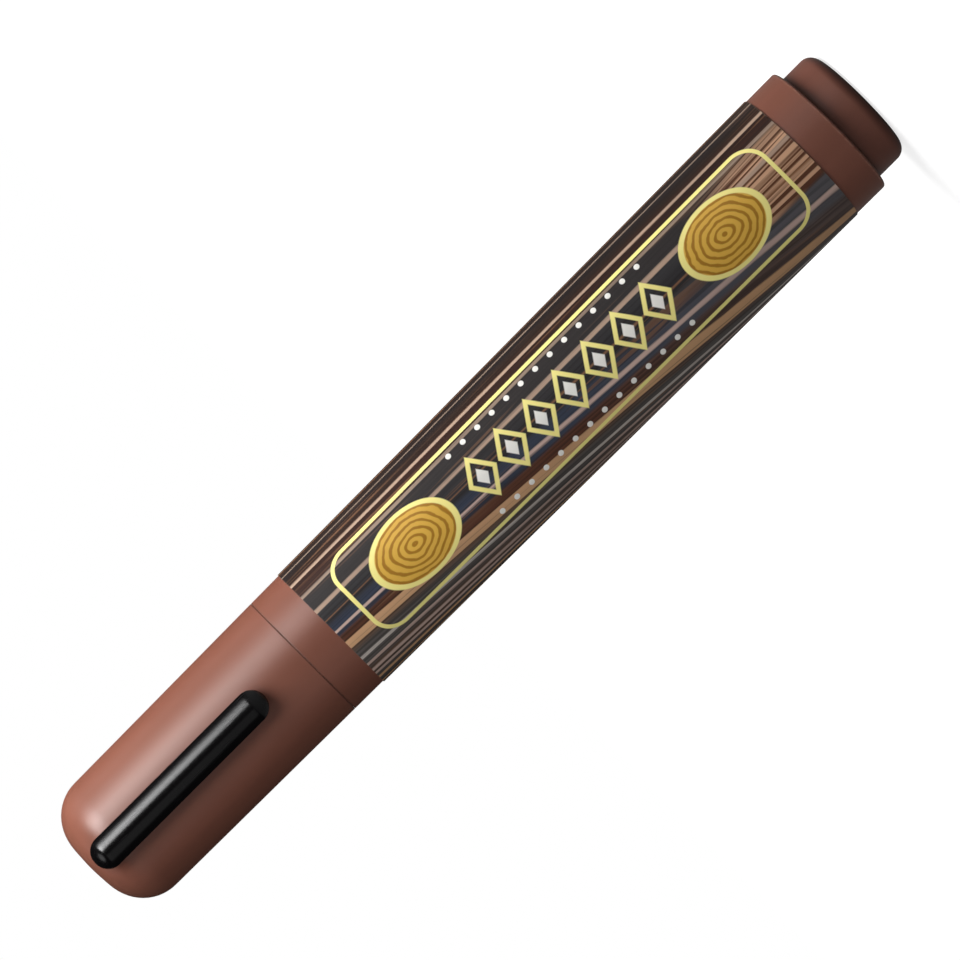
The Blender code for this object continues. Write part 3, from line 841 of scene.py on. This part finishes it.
def tail_fan(finish, across, along):
    """Where fine tan lines fan out at the tail, and their colour."""
    place = across / ((along - FAN_START) / FAN_LENGTH + 1.0)
    lines = sheet_noise(finish, place, along, FAN_LINES).above(0.5, 0.08)
    zone = along.above(*FAN_ALONG) * across.above(*FAN_LEFT) * across.below(*FAN_RIGHT)
    return zone, finish.mix(lines, FAN_DARK, FAN_PALE)


def grain_colour(finish, across, along):
    """Dark ground in bands with fine fibres, sharp pale lines and a fan of tan lines at the tail."""
    lean = grain_place(finish, across, along)
    place = (lean / GRAIN_SPAN + 0.5).fraction()
    fibre = sheet_noise(finish, lean, along, FIBRES)
    pale = sheet_noise(finish, lean, along, PALE_FIBRES)
    patch = sheet_noise(finish, across, along, PATCHES)
    fan, fan_colour = tail_fan(finish, across, along)
    layers = [
        (along.above(*TAIL_ALONG) * across.above(*TAIL_ACROSS) * 0.6, PALE_SLATE),
        (fibre.above(0.52, 0.14) * 0.45, tinted(EBONY, 0.6)),
        (pale.above(0.6, 0.05) * patch.above(0.54, 0.16) * 0.45, BROWN),
        (fan * 0.9, fan_colour),
    ]
    strength = patch.above(0.4, 0.3).ranging(1.0 - LINE_FADE, 1.0)
    strength = strength * fibre.above(0.6, 0.1).ranging(1.0, 1.0 - LINE_BREAKS)
    for first in range(0, len(LINES), LINES_PER_RAMP):
        shade, cover = finish.ramp(place, line_stops(LINES[first:first + LINES_PER_RAMP]))
        layers.append((cover * strength, shade))
    # Painted shade: the print is darkened round the back, where the lightened shades repeat under the
    # side lamp.
    layers.append((abs(across).above(*FAR_SIDE) * 0.45, EBONY))
    ground = finish.ramp(place, [(level / GRAIN_SPAN + 0.5, shade) for level, shade in GROUND])[0]
    return finish.over(ground, *layers), fibre


def inlay_masks(across, along):
    """Where the frame, lozenges, hearts and dots of the inlay band are printed, and its ovals."""
    run = along - INLAY_MIDDLE
    beyond_length = (abs(run) - (FRAME_HALF_LENGTH - FRAME_CORNER)).most(0.0)
    beyond_height = (abs(across) - (FRAME_HALF_HEIGHT - FRAME_CORNER)).most(0.0)
    off_line = abs(beyond_length.hypotenuse(beyond_height) - FRAME_CORNER)
    frame_line = off_line.below(FRAME_LINE / 2, PRINT_EDGE)
    cell = ((run / LOZENGE_PITCH + 0.5).fraction() - 0.5) * LOZENGE_PITCH
    diamond = (abs(cell) / LOZENGE_HALF_LENGTH + abs(across) / LOZENGE_HALF_HEIGHT).flipped()
    in_row = abs(run).below(LOZENGE_COUNT * LOZENGE_PITCH / 2, PRINT_EDGE)
    lozenge = diamond.above(0.0, PRINT_EDGE) * diamond.below(LOZENGE_LINE, PRINT_EDGE) * in_row
    heart = diamond.above(LOZENGE_HEART, PRINT_EDGE) * in_row
    dot_cell = ((run / DOT_PITCH).fraction() - 0.5) * DOT_PITCH
    dots = dot_cell.hypotenuse(abs(across) - DOT_ROW).below(DOT_RADIUS, PRINT_EDGE) * in_row
    oval = ((abs(run) - OVAL_OFFSET) / OVAL_HALF_LENGTH).hypotenuse(across / OVAL_HALF_HEIGHT)
    return frame_line, lozenge, heart, dots, oval


def growth_rings(finish, across, along, oval):
    """Colour of an oval: wavering rings inside a pale rim."""
    wobble = sheet_noise(finish, across, along, RING_NOISE) - 0.5
    rings = ((oval + wobble * RING_WOBBLE) * (math.tau / RING_PITCH)).sine()
    shade = finish.mix(rings.above(0.35, 0.7), GOLD, DARK_GOLD)
    return finish.mix(oval.above(1.0 - OVAL_RIM, OVAL_EDGE), shade, PALE_YELLOW)


def film_material():
    finish = Finish("printed_film")
    place = finish.new("ShaderNodeSeparateXYZ")
    finish.feed(place.inputs[0], finish.attribute("print_place", "Vector"))
    across, along = (Field(finish, socket) for socket in place.outputs[:2])
    streaks, fibre = grain_colour(finish, across, along)
    frame_line, lozenge, heart, dots, oval = inlay_masks(across, along)
    ink = sheet_noise(finish, across, along, INK_SPECKS)
    scuff = sheet_noise(finish, across, along, SCUFFS)
    cover = ink.above(0.2, 0.3).ranging(1.0 - INK_LOSS, 1.0)
    edge = finish.wear_and_shade().most(0.0) * ink.above(0.45, 0.3)
    body = finish.over(
        streaks,
        (frame_line.most(lozenge) * cover, PALE_YELLOW),
        (heart.most(dots) * cover, WHITE_INK),
        (oval.below(1.0, OVAL_EDGE) * cover, growth_rings(finish, across, along, oval)),
        (edge * RUBBED_SHARE, RUBBED_FILM),
    )
    finish.set("Base Color", body)
    finish.set("Roughness", total((scuff, 0.14), (ink, 0.06)) + 0.36)
    finish.set("IOR", 1.24)
    printed = frame_line.most(lozenge).most(heart).most(dots)
    finish.bump(total((printed, 0.6), (fibre, 0.15), (scuff, 0.25)), 0.008 * MM)
    return finish.material


# The pieces


def build_barrel(material):
    bead_low = BEAD_LEVEL - BEAD_WIDTH / 2
    bead_top = BEAD_LEVEL + BEAD_WIDTH / 2
    bead_radius = NECK_RADIUS + BEAD_HEIGHT
    corners = [
        (barrel_bore(REAR_RIM), REAR_RIM),
        (REAR_RADIUS, REAR_RIM, RIM_EDGE),
        (FRONT_RADIUS, SHOULDER, SEAM_EDGE),
        (NECK_RADIUS, SHOULDER),
        (NECK_RADIUS, bead_low),
        (bead_radius, bead_low + BEAD_HEIGHT),
        (bead_radius, bead_top - BEAD_HEIGHT),
        (NECK_RADIUS, bead_top),
        (NECK_RADIUS, NECK_TOP, NECK_EDGE),
        (NECK_BORE, NECK_TOP),
        (NECK_BORE, LEDGE, 0),
        (barrel_bore(LEDGE), LEDGE),
    ]
    barrel = turned("barrel_tube", corners, ring=True)
    half_wall = BARREL_WALL / 2
    rib_top = LEDGE + half_wall
    ribs = fins(
        RIB_COUNT,
        0.0,
        RIB_WIDTH,
        (RIB_CIRCLE, barrel_radius(POST_TOP) - half_wall, POST_TOP),
        (RIB_CIRCLE, barrel_radius(rib_top) - half_wall, rib_top),
    )
    combine(barrel, ribs, "UNION")
    dress(barrel, material, "pen", "barrel")


def film_section(turn):
    """Angle round the barrel and how far the sheet stands off it, at a share of the sheet's run."""
    lap = FILM_LAP / REAR_RADIUS
    ramp = FILM_LAP_RAMP / REAR_RADIUS
    angle = turn * (math.tau + lap)
    lift = eased((angle - (math.tau - ramp)) / ramp)
    return angle, lift * (FILM_THICKNESS + FILM_GAP / 2)


def film_column(shape, step, heights):
    """Ring of vertices round one cut of the sheet: up its inside and down its outside."""
    wear_and_shade_layer = shape.verts.layers.float["wear_and_shade"]
    place_layer = shape.verts.layers.float_vector["print_place"]
    angle, lift = film_section(step / SEGMENTS)
    turn = FILM_LAP_ANGLE + angle
    arc = (turn - math.tau) * (REAR_RADIUS + FRONT_RADIUS) / 2
    points = [(level, 0.0) for level in heights]
    points += [(level, FILM_THICKNESS) for level in reversed(heights)]
    column = []
    for level, thickness in points:
        radius = barrel_radius(level) + FILM_GAP + lift + thickness
        vertex = shape.verts.new((-radius * math.sin(turn), -radius * math.cos(turn), level))
        at_edge = level in (FILM_LOW, FILM_TOP) or step in (0, SEGMENTS)
        vertex[wear_and_shade_layer] = 1.0 if at_edge else 0.0
        vertex[place_layer] = (arc / MM, (FILM_TOP - level) / MM, 0.0)
        column.append(vertex)
    return column


def build_film(material):
    """One sheet wrapped round the barrel, its end lapped over its start behind the pen."""
    shape = bmesh.new()
    shape.verts.layers.float.new("wear_and_shade")
    shape.verts.layers.float_vector.new("print_place")
    heights = [FILM_LOW, FILM_LOW + FILM_EDGE_BAND]
    heights += [FILM_LOW + (FILM_TOP - FILM_LOW) * step / FILM_RINGS for step in range(1, FILM_RINGS)]
    heights += [FILM_TOP - FILM_EDGE_BAND, FILM_TOP]
    count = len(heights)
    columns = [film_column(shape, step, heights) for step in range(SEGMENTS + 1)]
    for left, right in zip(columns, columns[1:]):
        join_rings(shape, left, right, 2 * count)
    for column in (columns[0], columns[-1]):
        for low in range(count - 1):
            high = low + 1
            shape.faces.new((column[low], column[-high], column[-high - 1], column[high]))
    film = mesh_object("printed_wrap", shape)
    dress(film, material, "pen", "label_film")


def spigot_corners():
    """Outside of the plug's spigot from the head up: sealing lands with grooves between."""
    corners = [(barrel_bore(REAR_RIM) - PRESS_GAP, REAR_RIM - PRESS_GAP)]
    middle = (REAR_RIM + SPIGOT_TOP) / 2
    for centre in (middle - GROOVE_PITCH / 2, middle + GROOVE_PITCH / 2):
        lower = centre - GROOVE_WIDTH / 2
        upper = centre + GROOVE_WIDTH / 2
        for level, depths in ((lower, (0, GROOVE_DEPTH)), (upper, (GROOVE_DEPTH, 0))):
            land = barrel_bore(level) - PRESS_GAP
            corners += [(land - depth, level, 0) for depth in depths]
    top_radius = barrel_bore(SPIGOT_TOP) - PRESS_GAP
    corners.append((top_radius, SPIGOT_TOP - 2 * GROOVE_DEPTH, 0))
    corners.append((top_radius - GROOVE_DEPTH, SPIGOT_TOP, 0))
    return corners


def build_plug(material):
    hollow = barrel_bore(SPIGOT_TOP) - PRESS_GAP - PLUG_WALL
    corners = [
        (0, PLUG_END + GATE_DEPTH, 0),
        (GATE_RADIUS, PLUG_END + GATE_DEPTH),
        (GATE_RADIUS + GATE_DEPTH, PLUG_END),
    ]
    end = domed_end(PLUG_RADIUS, PLUG_ROUND, PLUG_END, -1, PLUG_DOME, PLUG_DOME_SPREAD)
    corners += [corner for corner in reversed(end) if corner[0] > GATE_RADIUS + 2 * GATE_DEPTH]
    corners.append((PLUG_RADIUS, REAR_RIM - PRESS_GAP))
    corners += spigot_corners()
    corners += [(hollow, SPIGOT_TOP, 0), (hollow, PLUG_FLOOR, RIM_EDGE), (0, PLUG_FLOOR, 0)]
    plug = turned("end_plug", corners)
    post_low = PLUG_FLOOR / 2
    centre = Matrix.Translation((0, 0, (POST_TOP + post_low) / 2))
    for span, width in ((POST_SPAN, POST_WIDTH), (POST_WIDTH, POST_SPAN)):
        combine(plug, block((span, width, POST_TOP - post_low), centre), "UNION")
    dress(plug, material, "pen", "tail_plug")


def build_holder(material):
    spigot = NECK_BORE - PRESS_GAP
    hollow = spigot - HOLDER_WALL
    hollow_top = FLANGE_TOP - HOLDER_WEB
    corners = [
        (hollow, SHOULDER, 0),
        (spigot, SHOULDER),
        (spigot, FLANGE_LOW, 0),
        (FLANGE_RADIUS, FLANGE_LOW),
        (FLANGE_RADIUS, FLANGE_TOP, 2 * FINE_EDGE),
        (NOSE_RADIUS + CONE_RISE, FLANGE_TOP, 2 * FINE_EDGE),
        (NOSE_RADIUS, LAND_LOW, RIM_EDGE),
        (NOSE_RADIUS, LAND_TOP, RIM_EDGE),
        (NIB_BORE + NOSE_TIP_WALL, NOSE_TIP, 2 * FINE_EDGE),
        (NIB_BORE, NOSE_TIP),
        (NIB_BORE, hollow_top, 0),
        (hollow, hollow_top, 0),
    ]
    holder = turned("nose_piece", corners, ring=True)
    vents = fins(
        VENT_COUNT,
        math.pi / VENT_COUNT,
        VENT_WIDTH,
        (NIB_RADIUS / 2, NIB_BORE + VENT_DEPTH, hollow_top - HOLDER_WALL),
        (NIB_RADIUS / 2, NIB_BORE + VENT_DEPTH, NOSE_TIP + HOLDER_WALL),
    )
    combine(holder, vents, "DIFFERENCE")
    dress(holder, material, "pen", "nib_holder")


def build_nib(material):
    corners = [
        (0, NIB_REAR, 0),
        (NIB_RADIUS, NIB_REAR + NIB_POINT),
        (NIB_RADIUS, NIB_TIP, 0),
        (0, NIB_TIP, 0),
    ]
    nib = turned("felt_tip", corners)
    size = 8 * NIB_RADIUS
    lean = math.atan2(NIB_RADIUS - NIB_EDGE_THICKNESS / 2, NIB_FLAT_LENGTH)
    for side in (-1, 1):
        place = Matrix.Translation((0, side * NIB_EDGE_THICKNESS / 2, NIB_TIP))
        place @= Matrix.Rotation(side * lean, 4, "X")
        place @= Matrix.Translation((0, side * size / 2, 0))
        combine(nib, block((size, size, size), place), "DIFFERENCE")
    place = Matrix.Translation((NIB_RADIUS, 0, NIB_TIP))
    place @= Matrix.Rotation(-NIB_SLANT, 4, "Y")
    place @= Matrix.Translation((0, 0, size / 2))
    combine(nib, block((size, size, size), place), "DIFFERENCE")
    bevel = nib.modifiers.new("soft_edges", "BEVEL")
    bevel.width = NIB_EDGE_ROUND
    bevel.segments = NIB_EDGE_STEPS
    bevel.limit_method = "ANGLE"
    bevel.angle_limit = SHARP_ANGLE
    apply_modifiers(nib)
    dress(nib, material, "pen", "nib")


def cap_corners():
    """The shell's section, from the liner stop on the axis down the bore and up the outside."""
    groove_low = BEAD_LEVEL - BEAD_WIDTH / 2 - BEAD_HEIGHT
    groove_top = BEAD_LEVEL + BEAD_WIDTH / 2 + BEAD_HEIGHT
    mouth = FRONT_RADIUS - CAP_WALL
    return [
        (0, STOP_LOW, 0),
        (STOP_RADIUS, STOP_LOW),
        (STOP_RADIUS, CAP_CEILING),
        (cap_bore(CAP_CEILING), CAP_CEILING, CAP_ROUND - CAP_WALL),
        (cap_bore(groove_top), groove_top),
        (cap_bore(groove_top) + BEAD_HEIGHT, groove_top - BEAD_HEIGHT),
        (cap_bore(groove_low) + BEAD_HEIGHT, groove_low + BEAD_HEIGHT),
        (cap_bore(groove_low), groove_low),
        (mouth, CAP_SEAT + MOUTH_CHAMFER),
        (mouth + MOUTH_CHAMFER, CAP_SEAT),
        (FRONT_RADIUS, CAP_SEAT, SEAM_EDGE),
        *domed_end(CAP_TOP_RADIUS, CAP_ROUND, CAP_TOP, 1, CAP_DOME, CAP_DOME_SPREAD),
        (0, CAP_TOP, 0),
    ]


def build_cap(material):
    shell = turned("cap_body", cap_corners())
    rib_inner = LINER_RADIUS + PRESS_GAP
    rib_outer = cap_bore(CAP_CORNER) + CAP_WALL / 3
    rise = CAP_RIB_TOP - CAP_CORNER
    inside_corner = CAP_ROUND - CAP_WALL
    top_outer = CAP_TOP_RADIUS - CAP_ROUND + math.sqrt(inside_corner**2 - rise**2)
    ribs = fins(
        RIB_COUNT,
        -math.pi / 2 + math.pi / RIB_COUNT,
        RIB_WIDTH,
        (rib_inner, rib_outer, CAP_RIB_LOW),
        (rib_inner, min(rib_outer, top_outer + CAP_WALL / 3), CAP_RIB_TOP),
    )
    combine(shell, ribs, "UNION")
    slot = block(
        (TANG_WIDTH + ROOT_GAP, 4 * CAP_WALL, TANG_LENGTH + 2 * ROOT_GAP),
        Matrix.Translation((0, -cap_radius(TANG_LOW), (TANG_LOW + TANG_TOP) / 2)),
    )
    combine(shell, slot, "DIFFERENCE")
    dress(shell, material, "cap", "cap_shell")


def build_liner(material):
    corners = [
        (0, LINER_CEILING, 0),
        (LINER_BORE, LINER_CEILING, LINER_EDGE),
        (LINER_BORE, LINER_MOUTH + LINER_WALL / 2),
        (LINER_BORE + LINER_WALL / 2, LINER_MOUTH),
        (LINER_RADIUS, LINER_MOUTH),
        (LINER_RADIUS, LINER_TOP, LINER_EDGE),
        (0, LINER_TOP, 0),
    ]
    liner = turned("inner_cup", corners)
    dress(liner, material, "liner", "cap_liner")


def clip_back(level):
    """Distance from the axis to the crest of the clip's back."""
    back = cap_radius(level) + CLIP_GAP + CLIP_THICKNESS
    over = max(level - (CLIP_TOP - CLIP_ROUND), 0.0)
    return back - CLIP_ROUND + math.sqrt(max(CLIP_ROUND**2 - over**2, 0.0))


def clip_hold(level):
    """1 where the clip sits on the cap or its nub touches it, 0 where the clip stands free."""
    free = eased((CLIP_ROOT_LOW - level) / CLIP_ROOT_RAMP)
    nub = max(1 - ((level - NUB_LEVEL) / (NUB_LENGTH / 2)) ** 2, 0.0) ** 2
    return 1 - free * (1 - nub)


def clip_seat(level):
    """Distance from the axis to the middle of the clip's underside, which follows the cap's corner."""
    if level > CAP_CORNER:
        rise = level - CAP_CORNER
        opening = (SEAT_GAP_TOP - SEAT_GAP) * rise / (CLIP_TOP - CAP_CORNER)
        clear = CAP_ROUND + SEAT_GAP + opening
        return CAP_TOP_RADIUS - CAP_ROUND + math.sqrt(clear**2 - rise**2)
    return cap_radius(level) + CLIP_GAP + (SEAT_GAP - CLIP_GAP) * clip_hold(level)


def clip_crown(lift, _, level):
    """Depth of the back at a share of its rise from the side to the crest."""
    room = max(clip_back(level) - clip_seat(level) - CLIP_LEAST_WALL, 0.0)
    return clip_back(level) - min(CLIP_CROWN, room) * (1 - lift)


def clip_under(across, level):
    """Depth of the underside, hollowed to the cap's round where the clip is held."""
    seat = clip_seat(level)
    return seat - clip_hold(level) * (seat - math.sqrt(seat**2 - across**2))


def clip_ring(inset):
    """Bar with round ends seen from the front, as (across, level) points, drawn in by an inset."""
    half = CLIP_HALF_WIDTH - inset
    low = CLIP_FREE_END + CLIP_HALF_WIDTH
    high = CLIP_TOP - CLIP_HALF_WIDTH
    points = []
    for first_angle, end, way in ((math.pi, low, 1), (0.0, high, -1)):
        for step in range(CLIP_END_STEPS):
            angle = first_angle + math.pi * step / CLIP_END_STEPS
            points.append((half * math.cos(angle), end + half * math.sin(angle)))
        for step in range(CLIP_LENGTH_STEPS):
            points.append((way * half, end + way * (high - low) * step / CLIP_LENGTH_STEPS))
    return points


def clip_sections():
    """(inset, depth at a point across and along, wear and shade value) from the crest over the side to
    the underside.
    """
    sections = []
    for step in range(CLIP_CROWN_STEPS + 1):
        angle = math.pi / 2 * step / CLIP_CROWN_STEPS
        lift = math.cos(angle) * (1 - CLIP_RIDGE + CLIP_RIDGE * math.cos(angle))
        wear_and_shade = 1.0 if step == CLIP_CROWN_STEPS else 0.0
        sections.append((CLIP_HALF_WIDTH * (1 - math.sin(angle)), partial(clip_crown, lift), wear_and_shade))
    sections.append((0.0, lambda across, level: clip_under(across, level) + CLIP_EDGE, 0.0))
    for step in range(CLIP_UNDER_STEPS + 1):
        inset = CLIP_EDGE + (CLIP_HALF_WIDTH - CLIP_EDGE) * step / CLIP_UNDER_STEPS
        sections.append((inset, clip_under, 0.0))
    return sections


def tang_outline():
    root = cap_radius(TANG_LOW) + ROOT_GAP + CLIP_THICKNESS / 2
    hook_outer = cap_bore(CAP_CORNER) - ROOT_GAP
    hook_inner = hook_outer - TANG_HOOK_THICKNESS
    return [
        (root, TANG_LOW),
        (root, TANG_TOP),
        (hook_outer, TANG_TOP),
        (hook_outer, TANG_TOP + TANG_HOOK),
        (hook_inner, TANG_TOP),
        (hook_inner, TANG_LOW),
    ]


def build_clip(material):
    shape = bmesh.new()
    wear_and_shade_layer = shape.verts.layers.float.new("wear_and_shade")
    rings = []
    for inset, depth, wear_and_shade in clip_sections():
        ring = []
        for across, level in clip_ring(inset):
            vertex = shape.verts.new((across, -depth(across, level), level))
            vertex[wear_and_shade_layer] = wear_and_shade
            ring.append(vertex)
        rings.append(ring)
    for outer, inner in zip(rings, rings[1:]):
        join_rings(shape, outer, inner, len(outer))
    bmesh.ops.remove_doubles(shape, verts=shape.verts, dist=MERGE_DISTANCE)
    clip = mesh_object("pocket_clip", shape)
    combine(clip, side_prism(tang_outline(), TANG_WIDTH), "UNION")
    dress(clip, material, "clip", "cap_clip")


# Shades of the plastics, new and rubbed
BROWN_PLASTIC = colour(126, 78, 63)
TAIL_BROWN = colour(120, 75, 62)
RUBBED_BROWN = colour(176, 130, 112)
CLIP_BLACK = colour(8, 7, 8)
HOLDER_BLACK = colour(30, 29, 30)
RUBBED_BLACK = colour(60, 58, 58)

# Plastic pieces: material, shade, roughness, refractive index, rubbed shade and share of it
PLASTICS = (
    (build_barrel, "barrel_plastic", BROWN_PLASTIC, 0.34, 1.45, RUBBED_BROWN, 0.35),
    (build_plug, "plug_plastic", TAIL_BROWN, 0.36, 1.41, RUBBED_BROWN, 0.3),
    (build_cap, "cap_plastic", BROWN_PLASTIC, 0.34, 1.45, RUBBED_BROWN, 0.35),
    (build_clip, "clip_plastic", CLIP_BLACK, 0.22, 1.51, RUBBED_BLACK, 0.4),
    (build_holder, "holder_plastic", HOLDER_BLACK, 0.4, 1.45, RUBBED_BLACK, 0.4),
)


def dress_kept_nodes():
    """The ink core and its wrap keep their solids and get finer materials."""
    finishes = {
        "ink_reservoir": felt("inked_core", colour(74, 70, 68), colour(120, 114, 110)),
        "reservoir_wrap": wrap_material("core_wrap", colour(214, 214, 208)),
    }
    for node, material in finishes.items():
        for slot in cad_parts[node].material_slots:
            slot.material = material


def build_marker():
    for build, *looks in PLASTICS:
        build(moulded_plastic(*looks))
    build_liner(natural_plastic("liner_plastic", colour(216, 212, 200)))
    build_nib(felt("inked_felt", colour(56, 53, 52), colour(104, 99, 96)))
    build_film(film_material())
    dress_kept_nodes()


# Stage, light and camera

FLOOR_SIZE = 8.0
FLOOR_CELLS = 4
FLOOR_DROP = 0.03 * MM
FLOOR_GLOW_DIP = 0.24
FLOOR_GLOW_SPAN = 0.10
FLOOR_ALBEDO = 0.35
FLOOR_BOUNCE = 0.08
FLOOR_GLOSS = 0.075
AMBIENT = 0.22
WHITE = (1.0, 1.0, 1.0, 1.0)
FLAG_RADIUS = 0.6
FLAG_HEIGHT = 2.0
FLAG_SEGMENTS = 96
FLAG_SHADE = 0.02

# Strips that only reflections show: azimuth and share of each; distance, height and level aimed at
GLINT_SHARES = ((33, 0.5), (42, 0.9), (51, 1.0), (60, 0.9), (69, 0.45), (78, 0.12))
GLINT_RADIANCE = 13.9
GLINT_PLACE = (0.40, 0.275, 0.13)
GLINT_SIZE = (0.064, 0.33)

# Lamps: azimuth, distance, height, level aimed at, size, radiance, and True if only reflections show it
LAMPS = (
    ("side_box", 100, 0.22, 0.17, 0.11, (0.18, 0.18), 8.0, False),
    ("key_box", 40, 0.16, 0.20, 0.11, (0.14, 0.14), 6.5, False),
    ("fill_box", -42, 0.50, 0.28, 0.10, (0.50, 0.40), 0.75, False),
    ("fill_glint", -42, 0.48, 0.28, 0.10, (0.50, 0.40), 0.27, True),
    ("back_box", 185, 0.50, 0.25, 0.06, (0.4, 0.4), 1.5, False),
)

VIEW_DISTANCE = 0.866
VIEW_ELEVATION = math.radians(1.76)
VIEW_ROLL = math.radians(-135)
VIEW_LENS = 281.9
VIEW_SENSOR = 36.0
VIEW_NEAR = 0.01
VIEW_FAR = 50.0
VIEW_AIM = Vector((-0.07 * MM, 0.0, 62.07 * MM))


def background_ray(nodes, gloss=1.0):
    """1 for rays to the stage from the camera or a clear piece, and a share for reflections."""
    path = nodes.new("ShaderNodeLightPath").outputs
    mirrored = Field(nodes, path["Is Glossy Ray"]) * gloss
    return mirrored.most(path["Is Camera Ray"]).most(path["Is Transmission Ray"])


def build_world():
    world = bpy.data.worlds.new("studio")
    bpy.context.scene.world = world
    world.use_nodes = True
    nodes = Nodes(world.node_tree)
    background = nodes.tree.nodes["Background"]
    nodes.feed(background.inputs["Color"], WHITE)
    nodes.feed(background.inputs["Strength"], background_ray(nodes).ranging(AMBIENT, 1.0))


def floor_glow(nodes):
    """Glow that dips where the lamps light the floor near the pen, so that its shadow shows."""
    length = nodes.new("ShaderNodeVectorMath", operation="LENGTH")
    nodes.feed(length.inputs[0], nodes.new("ShaderNodeTexCoord").outputs["Object"])
    distance = Field(nodes, length.outputs["Value"]) / FLOOR_GLOW_SPAN
    near = (distance.power(2.0) + 1.0).power(-1.0)
    return near.ranging(1.0, 1.0 - FLOOR_GLOW_DIP)


def floor_material():
    """Pale floor that looks white and still takes the shadow."""
    material = bpy.data.materials.new("pale_floor")
    material.use_nodes = True
    nodes = Nodes(material.node_tree)
    nodes.tree.nodes.clear()
    seen = background_ray(nodes, FLOOR_GLOSS)
    diffuse = nodes.new("ShaderNodeBsdfDiffuse")
    nodes.feed(diffuse.inputs["Color"], seen.ranging(FLOOR_BOUNCE, FLOOR_ALBEDO))
    glow = nodes.new("ShaderNodeEmission")
    nodes.feed(glow.inputs["Strength"], seen * floor_glow(nodes))
    both = nodes.new("ShaderNodeAddShader")
    nodes.feed(both.inputs[0], diffuse.outputs[0])
    nodes.feed(both.inputs[1], glow.outputs[0])
    output = nodes.new("ShaderNodeOutputMaterial")
    nodes.feed(output.inputs["Surface"], both.outputs[0])
    return material


def build_floor():
    shape = bmesh.new()
    bmesh.ops.create_grid(shape, x_segments=FLOOR_CELLS, y_segments=FLOOR_CELLS, size=FLOOR_SIZE / 2)
    floor = mesh_object("floor", shape)
    floor.location.z = -FLOOR_DROP
    floor.data.materials.append(floor_material())


def build_flag():
    """Dark ring round the stage that only reflections meet, so that the pen's edges stay dark."""
    shape = bmesh.new()
    bmesh.ops.create_cone(
        shape,
        segments=FLAG_SEGMENTS,
        radius1=FLAG_RADIUS,
        radius2=FLAG_RADIUS,
        depth=FLAG_HEIGHT,
        matrix=Matrix.Translation((0, 0, FLAG_HEIGHT / 2)),
    )
    flag = mesh_object("dark_flag", shape)
    finish = Finish("dark_cloth")
    finish.set("Base Color", (FLAG_SHADE, FLAG_SHADE, FLAG_SHADE, 1.0))
    finish.set("Roughness", 1.0)
    flag.data.materials.append(finish.material)
    for ray in ("camera", "diffuse", "transmission", "shadow"):
        setattr(flag, f"visible_{ray}", False)


def soft_box(name, azimuth, distance, height, aim_level, size, radiance, glint):
    """Rectangular lamp; azimuth is measured from -Y towards +X, in degrees."""
    lamp = bpy.data.lights.new(name, "AREA")
    lamp.shape = "RECTANGLE"
    lamp.size, lamp.size_y = size
    lamp.energy = radiance * math.pi * size[0] * size[1]
    box = linked(name, lamp)
    turn = math.radians(azimuth)
    box.location = (distance * math.sin(turn), -distance * math.cos(turn), height)
    way = Vector((0, 0, aim_level)) - box.location
    box.rotation_mode = "QUATERNION"
    box.rotation_quaternion = way.to_track_quat("-Z", "Y")
    box.visible_camera = False
    box.visible_diffuse = not glint
    box.visible_glossy = glint


def build_lights():
    for azimuth, share in GLINT_SHARES:
        radiance = share * GLINT_RADIANCE
        soft_box(f"glint_{azimuth}", azimuth, *GLINT_PLACE, GLINT_SIZE, radiance, True)
    for lamp in LAMPS:
        soft_box(*lamp)


def build_camera():
    data = bpy.data.cameras.new("camera")
    data.lens = VIEW_LENS
    data.sensor_width = VIEW_SENSOR
    data.clip_start = VIEW_NEAR
    data.clip_end = VIEW_FAR
    camera = linked("camera", data)
    back = Vector((0, -math.cos(VIEW_ELEVATION), math.sin(VIEW_ELEVATION)))
    upright = back.to_track_quat("Z", "Y").to_matrix().to_4x4()
    place = Matrix.Translation(VIEW_AIM + back * VIEW_DISTANCE)
    camera.matrix_world = place @ upright @ Matrix.Rotation(VIEW_ROLL, 4, "Z")
    bpy.context.scene.camera = camera


bpy.context.scene.view_settings.view_transform = "Standard"
build_marker()
build_world()
build_floor()
build_flag()
build_lights()
build_camera()
bpy.context.view_layer.update()
